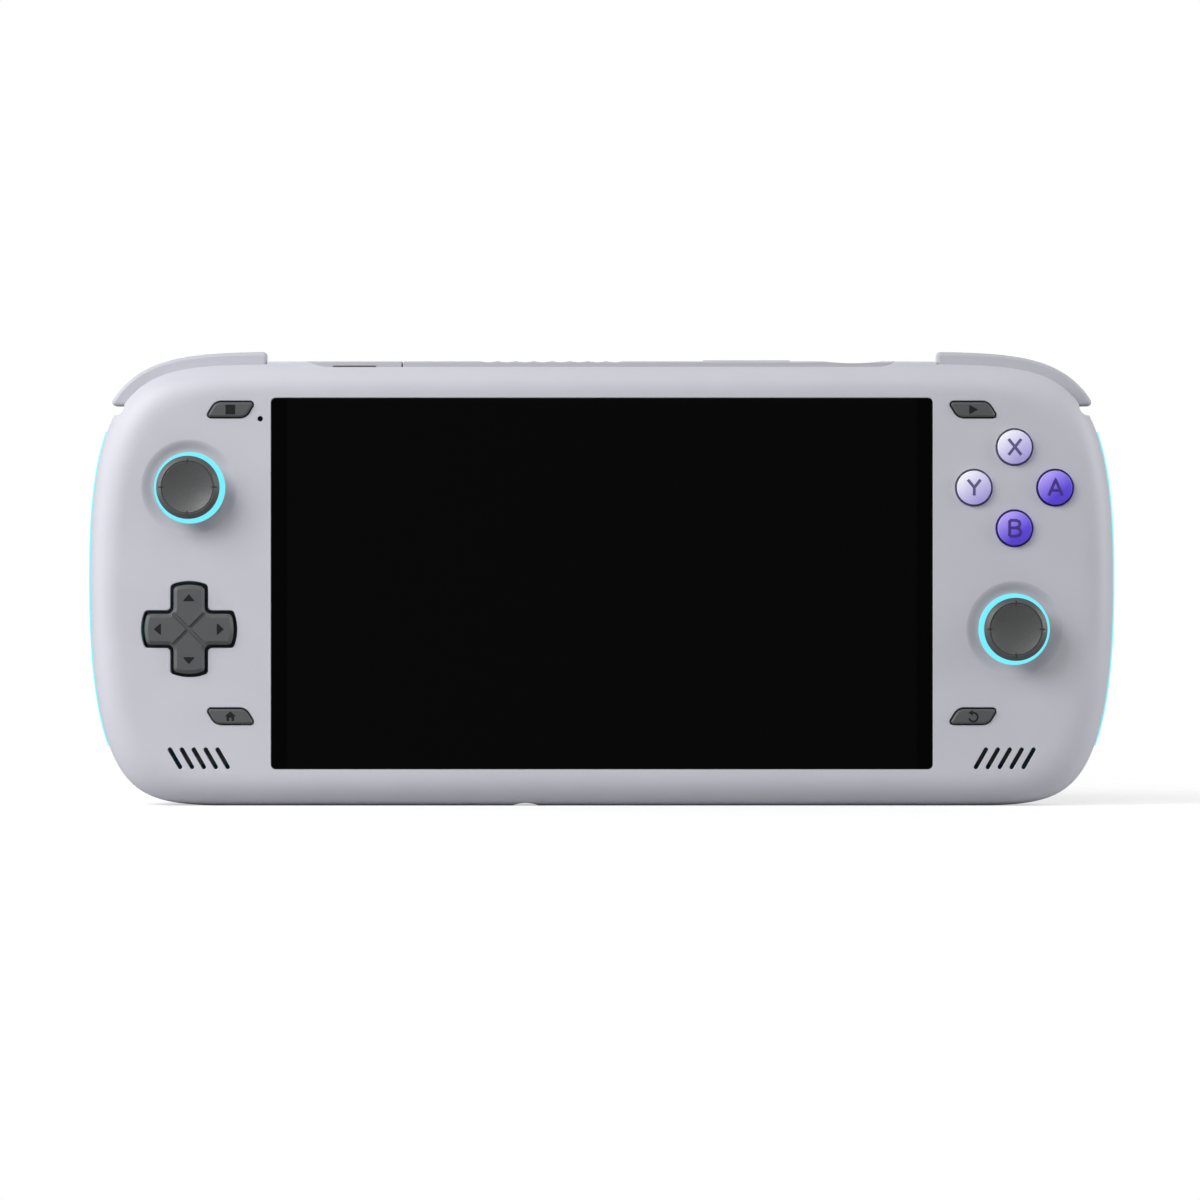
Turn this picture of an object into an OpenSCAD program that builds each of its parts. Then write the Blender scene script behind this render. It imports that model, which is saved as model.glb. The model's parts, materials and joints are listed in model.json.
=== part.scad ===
// Handheld game console with a wide screen, two lit thumb sticks and an active cooler.
// Drawn lying flat: x to the right, y up the screen, z toward the player; upright() stands it on its foot.

/* [Body] */
// width of a control wing, from the cover glass to the outer side
wing_w = 40.2; // [38:0.2:44]
// height of the rim above and below the cover glass
rim_h = 8.4; // [8:0.1:10]
// thickness of the outer walls
wall = 1.8; // [1.6:0.1:2]
// height of the front shell over the parting plane
front_rise = 9; // [9:0.1:9.6]
// depth of the flat back behind the parting plane
back_drop = 8; // [8:0.1:9]
// extra depth of the two grips
grip_bulge = 8; // [6:0.5:10]
// radius of the front edge
front_round = 7; // [6:0.25:7]
// amount cut from the lower edge so that it stands flat
foot_cut = 0.2; // [0.15:0.05:0.3]

/* [Screen] */
// printed border of the cover glass left and right of the display
border_w = 3.4; // [3:0.1:6]
// printed border of the cover glass above and below the display
border_h = 2.6; // [2.2:0.1:5]
// thickness of the cover glass
glass_t = 0.95; // [0.8:0.05:1.1]
// width of the display panel
panel_w = 138; // [124:0.5:155]
// height of the display panel
panel_h = 76; // [68:0.5:86]
// thickness of the display panel
panel_t = 2.7; // [2.2:0.1:2.8]

/* [Controls] */
// radius of a round face button
face_r = 3.8; // [3.5:0.05:4]
// distance of a face button from the middle of its group
face_off = 8.9; // [8.6:0.1:9.2]
// play between a button and its hole
play = 0.3; // [0.25:0.05:0.4]
// travel of a face button
face_travel = 1; // [0.8:0.1:1]
// full span of the direction pad
pad_span = 20.4; // [19.6:0.2:20.6]
// width of one arm of the direction pad
pad_arm = 7.4; // [6.8:0.1:7.6]
// width of a small menu button
menu_w = 10; // [9.4:0.1:10.2]
// height of a small menu button
menu_h = 3.25; // [3:0.05:3.5]

/* [Sticks] */
// radius of a thumb stick cap
cap_r = 6.9; // [6.5:0.1:7.1]
// outer radius of a light ring
ring_r = 7.9; // [7.6:0.1:8.1]
// inner radius of a light ring
ring_in_r = 6; // [5.9:0.05:6.2]
// depth of the dish around a light ring
dish_d = 0.8; // [0.6:0.1:1]
// radius of the thumb stick neck
neck_r = 2.4; // [2:0.1:2.5]
// radius of a gimbal pin
gimbal_pin_r = 1; // [0.8:0.05:1.1]
// radial running clearance of every pin
run = 0.05; // [0.04:0.01:0.08]

/* [Shoulders] */
// radius of the bumper pins
bumper_pin_r = 1; // [0.8:0.05:1.2]
// radius of the trigger pins
trigger_pin_r = 0.8; // [0.7:0.05:0.9]
// depth of a bumper
bumper_t = 4; // [3.6:0.1:4.1]
// depth of a trigger
trigger_d = 10.5; // [9:0.5:11]

/* [Ports] */
// radius of the audio socket bore
jack_bore_r = 1.8; // [1.75:0.05:1.9]
// depth of the audio socket bore
jack_depth = 13; // [12:0.5:14]
// width of the data port shell
port_w = 9; // [8.6:0.1:9.2]
// height of the data port shell
port_h = 3.2; // [3:0.1:3.3]

/* [Cooler] */
// radius of the fan rotor
fan_r = 13; // [12:0.25:13.5]
// number of fan blades
fan_blades = 15; // [9:2:19]
// number of vent openings in the top bar
vent_count = 8; // [6:1:8]

/* [Hidden] */
$fn = 48;
glass_w = panel_w + 2 * border_w;
glass_h = panel_h + 2 * border_h;
half_w = glass_w / 2 + wing_w;
half_h = glass_h / 2 + rim_h;
foot_y = half_h - foot_cut;
eps = 0.02;
// levels measured from the parting plane
wall_z = front_rise - wall;
edge_z = front_rise - front_round;
glass_z = front_rise - 0.05 - glass_t;
panel_z = glass_z - panel_t;
frame_t = 1;
frame_z = panel_z - frame_t;
frame_w = panel_w + 6;
frame_h = panel_h + 6;
rim_t = 2;
main_z = frame_z - 1.7;
main_t = 1.2;
ctrl_z = 0.6;
ctrl_t = 1.2;
ctrl_top = ctrl_z + ctrl_t;
side_wall = 4;
// half length of the top bar, then the shoulder bay and its pieces
bar_half = panel_w / 2 - 4.4;
bay_x = bar_half + 9;
bay_y = half_h - 12.2;
bay_a = half_w - 5.4;
bay_b = half_h - 6.4;
bay_t = 1.2;
shoulder_a = half_w + 2.4;
shoulder_b = half_h + 2.45;
shoulder_in_a = half_w - 3.4;
shoulder_in_b = half_h - 3.4;
bumper_gap = 0.3;
bumper_hinge = [bay_x + 3.4, half_h - 3];
trigger_z = -bumper_gap - bumper_t - 0.5;
trigger_axis_y = half_h - 2.8;
trigger_axis_z = trigger_z - 1.4;
// top bar
bar_front = 6.1;
bar_back = -5.5;
bar_y = half_h - 2.8;
door_x0 = -bar_half + 0.5;
door_x1 = door_x0 + 20.4;
door_x = (door_x0 + door_x1) / 2;
door_axis_y = half_h - 1.1;
door_axis_z = -2.9;
door_pin_r = 0.5;
rocker_x = bar_half - 32.75;
rocker_w = 19.3;
rocker_pin_r = 0.7;
rocker_axis_y = bar_y - 0.8;
power_x = bar_half - 9.4;
power_w = 12.2;
scoop_r = 41.2;
vent_w = 31.8;
vent_x = -11;
vent_x0 = vent_x - vent_w / 2;
// control columns and rows
column_x = glass_w / 2 + 0.4478 * wing_w;
upper_y = 0.4286 * half_h;
lower_y = -0.2041 * half_h;
// thumb sticks
stick_z = -1;
stick_base_w = 19.4;
stick_room = stick_base_w - 2.6;
gimbal_r = stick_room / 2 - 1.2;
skirt_r = stick_room / 2 - 0.4;
cap_z = front_rise + 2.8;
cap_top = cap_z + 2.8;
left_stick = [-column_x, upper_y];
right_stick = [column_x, lower_y];
pad_at = [-column_x, lower_y];
pad_pivot_z = wall_z;
pad_ball_r = 1.6;
face_at = [column_x, upper_y];
dome_r = 12;
face_spots = [[face_off, 0], [0, -face_off], [0, face_off], [-face_off, 0]];
menu_x = glass_w / 2 + 8.95;
menu_up = half_h - 10.9;
menu_low = -half_h + 19.9;
switch_top = wall_z - 2.2;
// control boards
ctrl_x0 = glass_w / 2 + 7.1;
ctrl_x1 = column_x + 10.6;
// lower edge
port_z = ctrl_z + 0.6;
usb_z = port_z - port_h / 2;
port_y = -half_h + 2.4;
jack_x = -16.8;
jack_z = port_z - 3.1;
// fan
fan_at = [vent_x, half_h - 25.6];
fan_half = 16.5;
fan_z = -back_drop + 2.1;
fan_shaft_r = 1;
screw_r = 1;
screw_x = bar_half + 2.9;
screw_y = half_h - 5.3;
side_screw = [glass_w / 2 + 3.6, (upper_y + lower_y) / 2 - 1.5];
screw_spots = [for (s = [-1, 1]) for (p = [[screw_x, screw_y], [screw_x, -screw_y], side_screw]) [s * p[0], p[1]]];
screw_seat = -back_drop + 1.4;
post_spots = [[column_x + 8.1, half_h - 16], [column_x + 8.1, -half_h + 22], [column_x - 8.4, (upper_y + lower_y) / 2]];
speaker_at = [column_x - 2.1, -half_h + 10.7];
strip_up = bay_y - 3.3;
strip_low = half_h - 13.3;
steps = 64;
back_steps = [0.5, 0.62, 0.72, 0.8, 0.86, 0.91, 0.95, 0.98, 1];
room_steps = [0.5, 0.65, 0.78, 0.87, 0.94, 1];

function signed_pow(v, p) = sign(v) * pow(abs(v), p);
function outline(a, b, up = 14, low = 18.4) = [for (i = [0:steps - 1])
  let (t = 360 * i / steps, n = sin(t) > 0 ? [up, 2.6] : [low, 2.2])
  [a * signed_pow(cos(t), 2 / n[0]), b * signed_pow(sin(t), 2 / n[1])]];
function level(pts, z) = [for (p = pts) [p[0], p[1], z]];
function ease(v) = let (c = min(1, max(0, v))) c * c * (3 - 2 * c);
function swell(x, y) = ease((abs(x) - half_w + 50.6) / 30) * (1 - 0.25 * pow((y + 8) / half_h, 2));
function back_at(d, s, x, y) = let (g = swell(x, y), s0 = 0.9 - 0.12 * g, u = max(0, (s - s0) / (1 - s0)))
  -side_wall - (back_drop - side_wall - d + grip_bulge * g) * sqrt(max(0, 1 - pow(u, 2.2)));
function back_ring(d, s) = [for (p = outline(half_w - d, half_h - d))
  let (x = s * p[0], y = s * p[1]) [x, y, back_at(d, s, x, y)]];
back_deep = min([for (s = back_steps) for (p = back_ring(0, s)) p[2]]);
mid_z = (cap_top + back_deep) / 2;
// corner arcs of a leaning rectangle: r holds the four corner radii
function lean_shape(w, h, r, k) = [for (q = [0:3]) for (j = [0:5])
  let (sx = (q == 0 || q == 3) ? 1 : -1, sy = q < 2 ? 1 : -1, a = 90 * q + 18 * j,
    x = sx * ((w - abs(k) * h) / 2 - r[q]) + r[q] * cos(a), y = sy * (h / 2 - r[q]) + r[q] * sin(a))
  [x + k * y, y]];

module upright() {
  translate([0, mid_z, foot_y]) rotate([90, 0, 0]) children();
}

// stack of rings with the same number of corners
module loft(rings) {
  n = len(rings[0]);
  m = len(rings);
  sides = [for (j = [0:m - 2]) for (i = [0:n - 1]) for (f = [0:1])
    f == 0 ? [j * n + i, (j + 1) * n + i, (j + 1) * n + (i + 1) % n]
           : [j * n + i, (j + 1) * n + (i + 1) % n, j * n + (i + 1) % n]];
  polyhedron([for (r = rings) for (p = r) p],
    concat([[for (i = [0:n - 1]) i]], sides, [[for (i = [n - 1:-1:0]) (m - 1) * n + i]]), convexity = 8);
}

module front_loft(d, z0) {
  r = front_round - d;
  loft(concat([level(outline(half_w - d, half_h - d), z0)],
    [for (a = [0:18:90]) level(outline(half_w - d - r * (1 - cos(a)), half_h - d - r * (1 - cos(a))),
      edge_z + r * sin(a))]));
}

module back_loft(d, z1) {
  loft(concat([for (s = d > 0 ? room_steps : back_steps) back_ring(d, s)],
    [level(outline(half_w - d, half_h - d), z1)]));
}

module on_side(s) {
  if (s > 0) children();
  else mirror([1, 0, 0]) children();
}

module block(x0, x1, y0, y1, z0, z1) {
  translate([x0, y0, z0]) cube([x1 - x0, y1 - y0, z1 - z0]);
}

module rod(at, r, z0, z1) {
  translate([at[0], at[1], z0]) cylinder(r = r, h = z1 - z0);
}

// round rod along x, from x0 to x1, at height y and level z
module cross_rod(x0, x1, y, z, r) {
  translate([x0, y, z]) rotate([0, 90, 0]) cylinder(r = r, h = x1 - x0);
}

// round rod along y, from y0 to y1
module long_rod(x, z, r, y0, y1) {
  translate([x, y1, z]) rotate([90, 0, 0]) cylinder(r = r, h = y1 - y0);
}

module slanted_slot(l, w, h) {
  translate([-l / 2, -w / 2, 0]) cube([l, w, h]);
  translate([-l / 2, 0, 0]) cylinder(d = w, h = h, $fn = 24);
  translate([l / 2, 0, 0]) cylinder(d = w, h = h, $fn = 24);
}

module menu_shape(s, grow) {
  polygon(lean_shape(menu_w + 2 * grow, menu_h + 2 * grow,
    s > 0 ? [0.4 + grow, 1.3 + grow, 0.4 + grow, 1.3 + grow] : [1.3 + grow, 0.4 + grow, 1.3 + grow, 0.4 + grow],
    0.6 * s));
}

// cross with bowed ends, its corners rounded by corner
module pad_shape(span, arm, r, corner = 0.7) {
  offset(r = -corner, $fn = 24) offset(r = 2 * corner, $fn = 24) offset(r = -corner, $fn = 24) intersection() {
    union() {
      square([span, arm], center = true);
      square([arm, span], center = true);
    }
    circle(r = r);
  }
}

module bay_shape() {
  difference() {
    translate([bay_x, bay_y]) square(60);
    polygon(outline(bay_a, bay_b, 13));
  }
}

module bay_wall_shape() {
  difference() {
    translate([bay_x - bay_t, bay_y - bay_t]) square(60);
    polygon(outline(bay_a - bay_t, bay_b - bay_t, 13));
    bay_shape();
  }
}

module shoulder_shape(a, b, x0, y0) {
  difference() {
    intersection() {
      translate([x0, y0]) square(60);
      polygon(outline(a, b, 12.5));
    }
    polygon(outline(shoulder_in_a, shoulder_in_b, 13));
  }
}

module strip_shape(grow) {
  intersection() {
    difference() {
      polygon(outline(half_w + 0.45 + grow, half_h));
      polygon(outline(half_w - 2.2 - grow, half_h));
    }
    translate([half_w - 12.6, -strip_low - grow]) square([30, strip_up + strip_low + 2 * grow]);
  }
}

module strip_room() {
  for (s = [-1, 1]) on_side(s) translate([0, 0, -1.25]) linear_extrude(2.5) strip_shape(0.05);
}

module bar_room() {
  block(-bar_half - 0.05, bar_half + 0.05, bar_y - 0.05, half_h + 5, bar_back - 0.05, bar_front + 0.05);
}

module foot_plane() {
  block(-200, 200, -foot_y - 20, -foot_y, -60, 60);
}

module stadium_y(w, h, y0, y1) {
  long_rod(-(w - h) / 2, 0, h / 2, y0, y1);
  long_rod((w - h) / 2, 0, h / 2, y0, y1);
  block(-(w - h) / 2, (w - h) / 2, y0, y1, -h / 2, h / 2);
}

module port_room() {
  translate([0, 0, usb_z]) stadium_y(port_w + 0.3, port_h + 0.3, -half_h - 1, -half_h + wall + 0.6);
  long_rod(jack_x, jack_z, 3.05, -half_h - 1, -half_h + wall + 0.6);
  translate([jack_x, -foot_y - 6.47, -20]) cylinder(r = 7.07, h = 40);
}

module front_shell() upright() color([0.76, 0.76, 0.8]) difference() {
  union() {
    difference() {
      front_loft(0, 0);
      front_loft(wall, -1);
    }
    for (p = screw_spots) rod(p, 2.2, 0, wall_z - 1.2);
    for (s = [-1, 1]) {
      rod([s * side_screw[0], side_screw[1]], 2.2, 0, wall_z + 0.5);
      rod([s * bumper_hinge[0], bumper_hinge[1]], 2.3, 0, edge_z + 1.4);
      for (p = post_spots) rod([s * p[0], p[1]], 1.6, ctrl_top, wall_z + 0.5);
    }
  }
  block(-glass_w / 2 - 0.15, glass_w / 2 + 0.15, -glass_h / 2 - 0.15, glass_h / 2 + 0.15, glass_z, 20);
  block(-panel_w / 2 - 0.5, panel_w / 2 + 0.5, -panel_h / 2 - 0.5, panel_h / 2 + 0.5, 0, 20);
  for (p = [left_stick, right_stick]) {
    rod(p, ring_r + 0.1, 0, 20);
    translate([p[0], p[1], front_rise - dish_d])
      cylinder(r1 = ring_r + 0.2, r2 = ring_r + 0.2 + 3 * (dish_d + 0.1), h = dish_d + 0.1);
  }
  translate([pad_at[0], pad_at[1], 0]) linear_extrude(20)
    pad_shape(pad_span + 2 * play, pad_arm + 0.8, pad_span / 2 + play);
  for (p = face_spots) rod(face_at + p, face_r + play, 0, 20);
  for (s = [-1, 1]) {
    translate([s * menu_x, menu_up, 0]) linear_extrude(20) menu_shape(-s, play);
    translate([s * menu_x, menu_low, 0]) linear_extrude(20) menu_shape(s, play);
    for (i = [-2:2]) translate([s * speaker_at[0] + 2.61 * i, speaker_at[1], 0]) rotate([0, 0, 90 - s * 30])
      slanted_slot(4.4, 0.8, 20);
    rod([s * bumper_hinge[0], bumper_hinge[1]], bumper_pin_r + eps, -1, edge_z + 0.9);
    rod([s * (half_w - 5.7), half_h - 10], 2, -1, 20);
  }
  rod([-glass_w / 2 - 2.45, half_h - 12.9], 0.6, 0, 20);
  for (p = screw_spots) rod(p, screw_r + eps, -1, 5.2);
  strip_room();
  bar_room();
  port_room();
  foot_plane();
}

module rear_shell() upright() color([0.74, 0.74, 0.78]) difference() {
  union() {
    difference() {
      back_loft(0, 0);
      back_loft(wall, 1);
    }
    intersection() {
      back_loft(0, 0);
      union() {
        for (p = screw_spots) rod(p, 2.9, -40, 0);
        for (s = [-1, 1]) on_side(s) {
          translate([0, 0, -40]) linear_extrude(40) bay_wall_shape();
          block(bay_x - 4.2, bay_x, trigger_axis_y - 1.9, trigger_axis_y + 1.3, trigger_axis_z - 1.3, trigger_axis_z + 1.5);
        }
      }
    }
  }
  for (s = [-1, 1]) on_side(s) {
    translate([0, 0, -40]) linear_extrude(41) bay_shape();
    cross_rod(bay_x - 3.7, bay_x + 1, trigger_axis_y, trigger_axis_z, trigger_pin_r + eps);
  }
  for (p = screw_spots) {
    rod(p, screw_r + 0.3, -40, 1);
    rod(p, 2.2, -40, screw_seat);
  }
  for (i = [-3:3]) translate([fan_at[0], fan_at[1] + 3.2 * i, -20]) slanted_slot(20 - 2 * abs(i), 1.4, 18);
  strip_room();
  bar_room();
  port_room();
  foot_plane();
}

module top_bar() upright() color([0.72, 0.72, 0.76]) difference() {
  union() {
    translate([-bar_half, 0, 0]) rotate([90, 0, 90]) linear_extrude(2 * bar_half) polygon(concat(
      [[bar_y, bar_back], [bar_y, bar_front]],
      [for (i = [6:-1:0]) let (a = asin((bar_front - edge_z) / front_round) * i / 6)
        [half_h - front_round * (1 - cos(a)), edge_z + front_round * sin(a)]],
      [[half_h, -side_wall], [half_h - 0.33, bar_back]]));
    for (z = [-3.2, 3.2]) block(rocker_x - 1.5, rocker_x + 1.5, rocker_axis_y - 1.3, bar_y + 0.5, z - 0.5, z + 0.5);
  }
  block(door_x0, door_x1, bar_y - 5, half_h + 5, bar_back + 0.9, 4.8);
  cross_rod(door_x0 - 2, door_x1 + 1.5, door_axis_y, door_axis_z, door_pin_r + eps);
  for (i = [0:vent_count - 1]) let (x = vent_x0 + vent_w / vent_count * (i + 0.5)) {
    block(x - 1.4, x + 1.4, bar_y - 5, half_h + 5, -3.6, 3.6);
    rod([x, half_h + 4.1], 4.4, -20, 20);
  }
  block(rocker_x - rocker_w / 2 - 0.2, rocker_x + rocker_w / 2 + 0.2, bar_y - 0.1, half_h + 5, -2.2, 2.2);
  rod([rocker_x, rocker_axis_y], rocker_pin_r + run, -8, 8);
  block(power_x - power_w / 2 - 0.3, power_x + power_w / 2 + 0.3, bar_y - 5, half_h + 5, -2.2, 2.2);
  rod([power_x, half_h - 0.5 + scoop_r], scoop_r, -20, 20);
}

module screen_glass() upright() color([0.03, 0.03, 0.03]) translate([0, 0, glass_z]) linear_extrude(glass_t)
  polygon(lean_shape(glass_w, glass_h, [1, 1, 1, 1], 0));

module display_panel() upright() color([0.08, 0.08, 0.09])
  block(-panel_w / 2, panel_w / 2, -panel_h / 2, panel_h / 2, panel_z, glass_z);

module mid_frame() upright() color([0.6, 0.62, 0.64]) union() {
  difference() {
    block(-frame_w / 2, frame_w / 2, -frame_h / 2, frame_h / 2, frame_z, wall_z);
    block(-frame_w / 2 + rim_t, frame_w / 2 - rim_t, -frame_h / 2 + rim_t, frame_h / 2 - rim_t, panel_z, 20);
  }
  for (x = [6.6 - bar_half, bar_half - 6.6]) for (y = [half_h - 41, half_h - 11]) rod([x, y], 1.8, main_z + main_t, frame_z + 0.2);
  for (x = [-22, 8]) rod([x, port_y + 7.4], 1.5, port_z + 1, frame_z + 0.2);
}

module light_strip(s) color([0.46, 0.92, 0.99]) on_side(s) translate([0, 0, -1.2]) linear_extrude(2.4) strip_shape(0);

module left_light_strip() upright() light_strip(-1);

module right_light_strip() upright() light_strip(1);

module light_ring(p) color([0.46, 0.92, 0.99]) translate([p[0], p[1], 0]) difference() {
  union() {
    rod([0, 0], ring_r, wall_z - 0.5, front_rise - dish_d);
    rod([0, 0], ring_r + 1.5, wall_z - 1, wall_z);
  }
  rod([0, 0], ring_in_r, 0, 20);
}

module left_light_ring() upright() light_ring(left_stick);

module right_light_ring() upright() light_ring(right_stick);

module stick_cap(p) color([0.25, 0.25, 0.26]) translate([p[0], p[1], 0]) rotate_extrude() polygon([
  [1.5 + eps, cap_z], [cap_r - 0.6, cap_z], [cap_r, cap_z + 0.6], [cap_r, cap_top - 0.9], [cap_r - 0.5, cap_top - 0.2],
  [cap_r - 0.9, cap_top], [cap_r - 1.2, cap_top], [cap_r - 2.2, cap_top - 0.55], [3, cap_top - 0.85],
  [0, cap_top - 0.95], [0, cap_z + 1.4 + eps], [1.5 + eps, cap_z + 1.4 + eps]]);

module left_stick_cap() upright() stick_cap(left_stick);

module right_stick_cap() upright() stick_cap(right_stick);

module stick_pivot(p) color([0.16, 0.16, 0.17]) translate([p[0], p[1], 0]) union() {
  rod([0, 0], 3.2, stick_z - 2.2, stick_z + 2.2);
  rod([0, 0], neck_r, stick_z, cap_z);
  rod([0, 0], 1.5, cap_z - 1, cap_z + 1.4);
  long_rod(0, stick_z, gimbal_pin_r - 0.1, 0.3 - gimbal_r, gimbal_r - 0.3);
  rotate_extrude() polygon(concat(
    [for (a = [0:6:54]) [(skirt_r - 0.8) * sin(a), stick_z + (skirt_r - 0.8) * cos(a)]],
    [for (a = [54:-6:0]) [skirt_r * sin(a), stick_z + skirt_r * cos(a)]]));
}

module left_stick_pivot() upright() stick_pivot(left_stick);

module right_stick_pivot() upright() stick_pivot(right_stick);

module stick_gimbal(p) color([0.5, 0.51, 0.53]) translate([p[0], p[1], 0]) difference() {
  union() {
    rod([0, 0], gimbal_r, stick_z - 1.4, stick_z + 1.4);
    cross_rod(0.3 - stick_base_w / 2, 1.2 - gimbal_r, 0, stick_z, gimbal_pin_r);
    cross_rod(gimbal_r - 1.2, stick_base_w / 2 - 0.3, 0, stick_z, gimbal_pin_r);
  }
  rod([0, 0], gimbal_r - 2, -20, 20);
  long_rod(0, stick_z, gimbal_pin_r - 0.1 + run, -20, 20);
}

module left_stick_gimbal() upright() stick_gimbal(left_stick);

module right_stick_gimbal() upright() stick_gimbal(right_stick);

module stick_base(p) color([0.2, 0.2, 0.21]) translate([p[0], p[1], 0]) difference() {
  block(-stick_base_w / 2, stick_base_w / 2, -stick_base_w / 2, stick_base_w / 2, -5.5, ctrl_z);
  block(-stick_room / 2, stick_room / 2, -stick_room / 2, stick_room / 2, -4.7, 20);
  cross_rod(-20, 20, 0, stick_z, gimbal_pin_r + run);
}

module left_stick_base() upright() stick_base(left_stick);

module right_stick_base() upright() stick_base(right_stick);

module dpad() upright() color([0.31, 0.32, 0.33]) translate([pad_at[0], pad_at[1], 0]) difference() {
  union() {
    translate([0, 0, wall_z - 1.4]) linear_extrude(front_rise + 1.2 - wall_z + 1.4) pad_shape(pad_span, pad_arm, pad_span / 2);
    rod([0, 0], pad_span / 2 + 1.2, wall_z - 2, wall_z - 1.2);
  }
  translate([0, 0, pad_pivot_z]) sphere(r = pad_ball_r + 0.1);
  rod([0, 0], pad_ball_r + 0.1, 0, pad_pivot_z);
  for (a = [0:90:270]) rotate([0, 0, a]) translate([6.3, 0, front_rise + 1]) linear_extrude(2)
    polygon([[1.15, 0], [-0.2, 1.15], [-0.2, -1.15]]);
  for (a = [45, 135]) rotate([0, 0, a]) block(-4.6, 4.6, -0.25, 0.25, front_rise + 0.85, 20);
}

module dpad_pivot() upright() color([0.7, 0.71, 0.73]) translate([pad_at[0], pad_at[1], pad_pivot_z]) sphere(r = pad_ball_r);

module dpad_membrane() upright() color([0.55, 0.55, 0.57]) translate([pad_at[0], pad_at[1], 0]) difference() {
  union() {
    rod([0, 0], 10.4, ctrl_top, ctrl_top + 0.6);
    for (a = [0:90:270]) rotate([0, 0, a]) rod([7, 0], 2.2, ctrl_top, wall_z - 3.4);
  }
  rod([0, 0], 2.4, 0, 20);
}

module face_button(i, c) color(c) translate([face_at[0] + face_spots[i][0], face_at[1] + face_spots[i][1], 0]) union() {
  intersection() {
    rod([0, 0], face_r, wall_z - 1, front_rise + 3);
    translate([0, 0, front_rise + 1.5 - dome_r]) sphere(r = dome_r);
  }
  rod([0, 0], face_r + 1, wall_z - 1.5, wall_z - play);
}

module button_a() upright() face_button(0, [0.4, 0.31, 0.81]);

module button_b() upright() face_button(1, [0.4, 0.31, 0.81]);

module button_x() upright() face_button(2, [0.72, 0.68, 0.97]);

module button_y() upright() face_button(3, [0.72, 0.68, 0.97]);

module face_button_membrane() upright() color([0.55, 0.55, 0.57]) translate([face_at[0], face_at[1], 0]) union() {
  rod([0, 0], 4, ctrl_top, ctrl_top + 0.6);
  for (p = face_spots) {
    rod(p, 4.4, ctrl_top, ctrl_top + 0.6);
    rod(p, 2.6, ctrl_top, wall_z - 1.5 - face_travel - 0.3);
    rotate([0, 0, atan2(p[1], p[0])]) block(0, face_off, -1.5, 1.5, ctrl_top, ctrl_top + 0.6);
  }
}

module menu_button(x, y, s) color([0.33, 0.33, 0.34]) translate([x, y, 0]) union() {
  translate([0, 0, wall_z - 1]) linear_extrude(front_rise + 0.6 - wall_z + 1) menu_shape(s, 0);
  translate([0, 0, wall_z - 1.3]) linear_extrude(1.3 - play) menu_shape(s, 0.8);
}

module select_button() upright() menu_button(-menu_x, menu_up, 1);

module start_button() upright() menu_button(menu_x, menu_up, -1);

module home_button() upright() menu_button(-menu_x, menu_low, -1);

module back_button() upright() menu_button(menu_x, menu_low, 1);

module bumper(s) color([0.73, 0.73, 0.77]) on_side(s) difference() {
  translate([0, 0, -bumper_gap - bumper_t]) linear_extrude(bumper_t) union() {
    shoulder_shape(shoulder_a, shoulder_b, bay_x + 0.3, bay_y + 2.4);
    translate(bumper_hinge) circle(r = 2.3);
  }
  rod(bumper_hinge, bumper_pin_r + run, -20, 5);
}

module left_bumper() upright() bumper(-1);

module right_bumper() upright() bumper(1);

module bumper_pins() upright() color([0.7, 0.71, 0.73]) for (s = [-1, 1])
  rod([s * bumper_hinge[0], bumper_hinge[1]], bumper_pin_r, -bumper_gap - bumper_t - 0.1, edge_z + 0.8);

module trigger(s) color([0.62, 0.62, 0.66]) on_side(s) difference() {
  union() {
    intersection() {
      translate([0, 0, trigger_z - trigger_d]) linear_extrude(trigger_d)
        shoulder_shape(shoulder_a - 0.6, shoulder_b - 0.6, bay_x + 0.6, bay_y + 3.6);
      cross_rod(bay_x - 10, half_w + 10, half_h - 18.4, trigger_z + 2.8, 20);
    }
    cross_rod(bay_x + 0.6, bay_x + 7.4, trigger_axis_y, trigger_axis_z, 1.6);
  }
  cross_rod(bay_x - 10, bay_x + 6.9, trigger_axis_y, trigger_axis_z, trigger_pin_r + run);
  translate([bay_x - 10, trigger_axis_y - 1, trigger_z]) rotate([18, 0, 0]) translate([0, -30, 0]) cube([80, 30, 20]);
}

module left_trigger() upright() trigger(-1);

module right_trigger() upright() trigger(1);

module trigger_pins() upright() color([0.7, 0.71, 0.73]) for (s = [-1, 1]) on_side(s)
  cross_rod(bay_x - 3.6, bay_x + 6.4, trigger_axis_y, trigger_axis_z, trigger_pin_r);

module volume_rocker() upright() color([0.7, 0.7, 0.74]) union() {
  block(rocker_x - rocker_w / 2, rocker_x + rocker_w / 2, bar_y - 0.6, half_h + 0.2, -1.9, 1.9);
  block(rocker_x - rocker_w / 2 - 0.5, rocker_x + rocker_w / 2 + 0.5, bar_y - 1.25, bar_y - 0.35, -2.4, 2.4);
  rod([rocker_x, rocker_axis_y], rocker_pin_r, -3.8, 3.8);
}

module power_button() upright() color([0.7, 0.7, 0.74]) difference() {
  union() {
    block(power_x - power_w / 2, power_x + power_w / 2, bar_y - 0.6, half_h, -1.9, 1.9);
    block(power_x - power_w / 2 - 0.8, power_x + power_w / 2 + 0.8, bar_y - 1.2, bar_y - 0.3, -2.5, 2.5);
  }
  rod([power_x, half_h - 0.5 + scoop_r], scoop_r, -20, 20);
}

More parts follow.
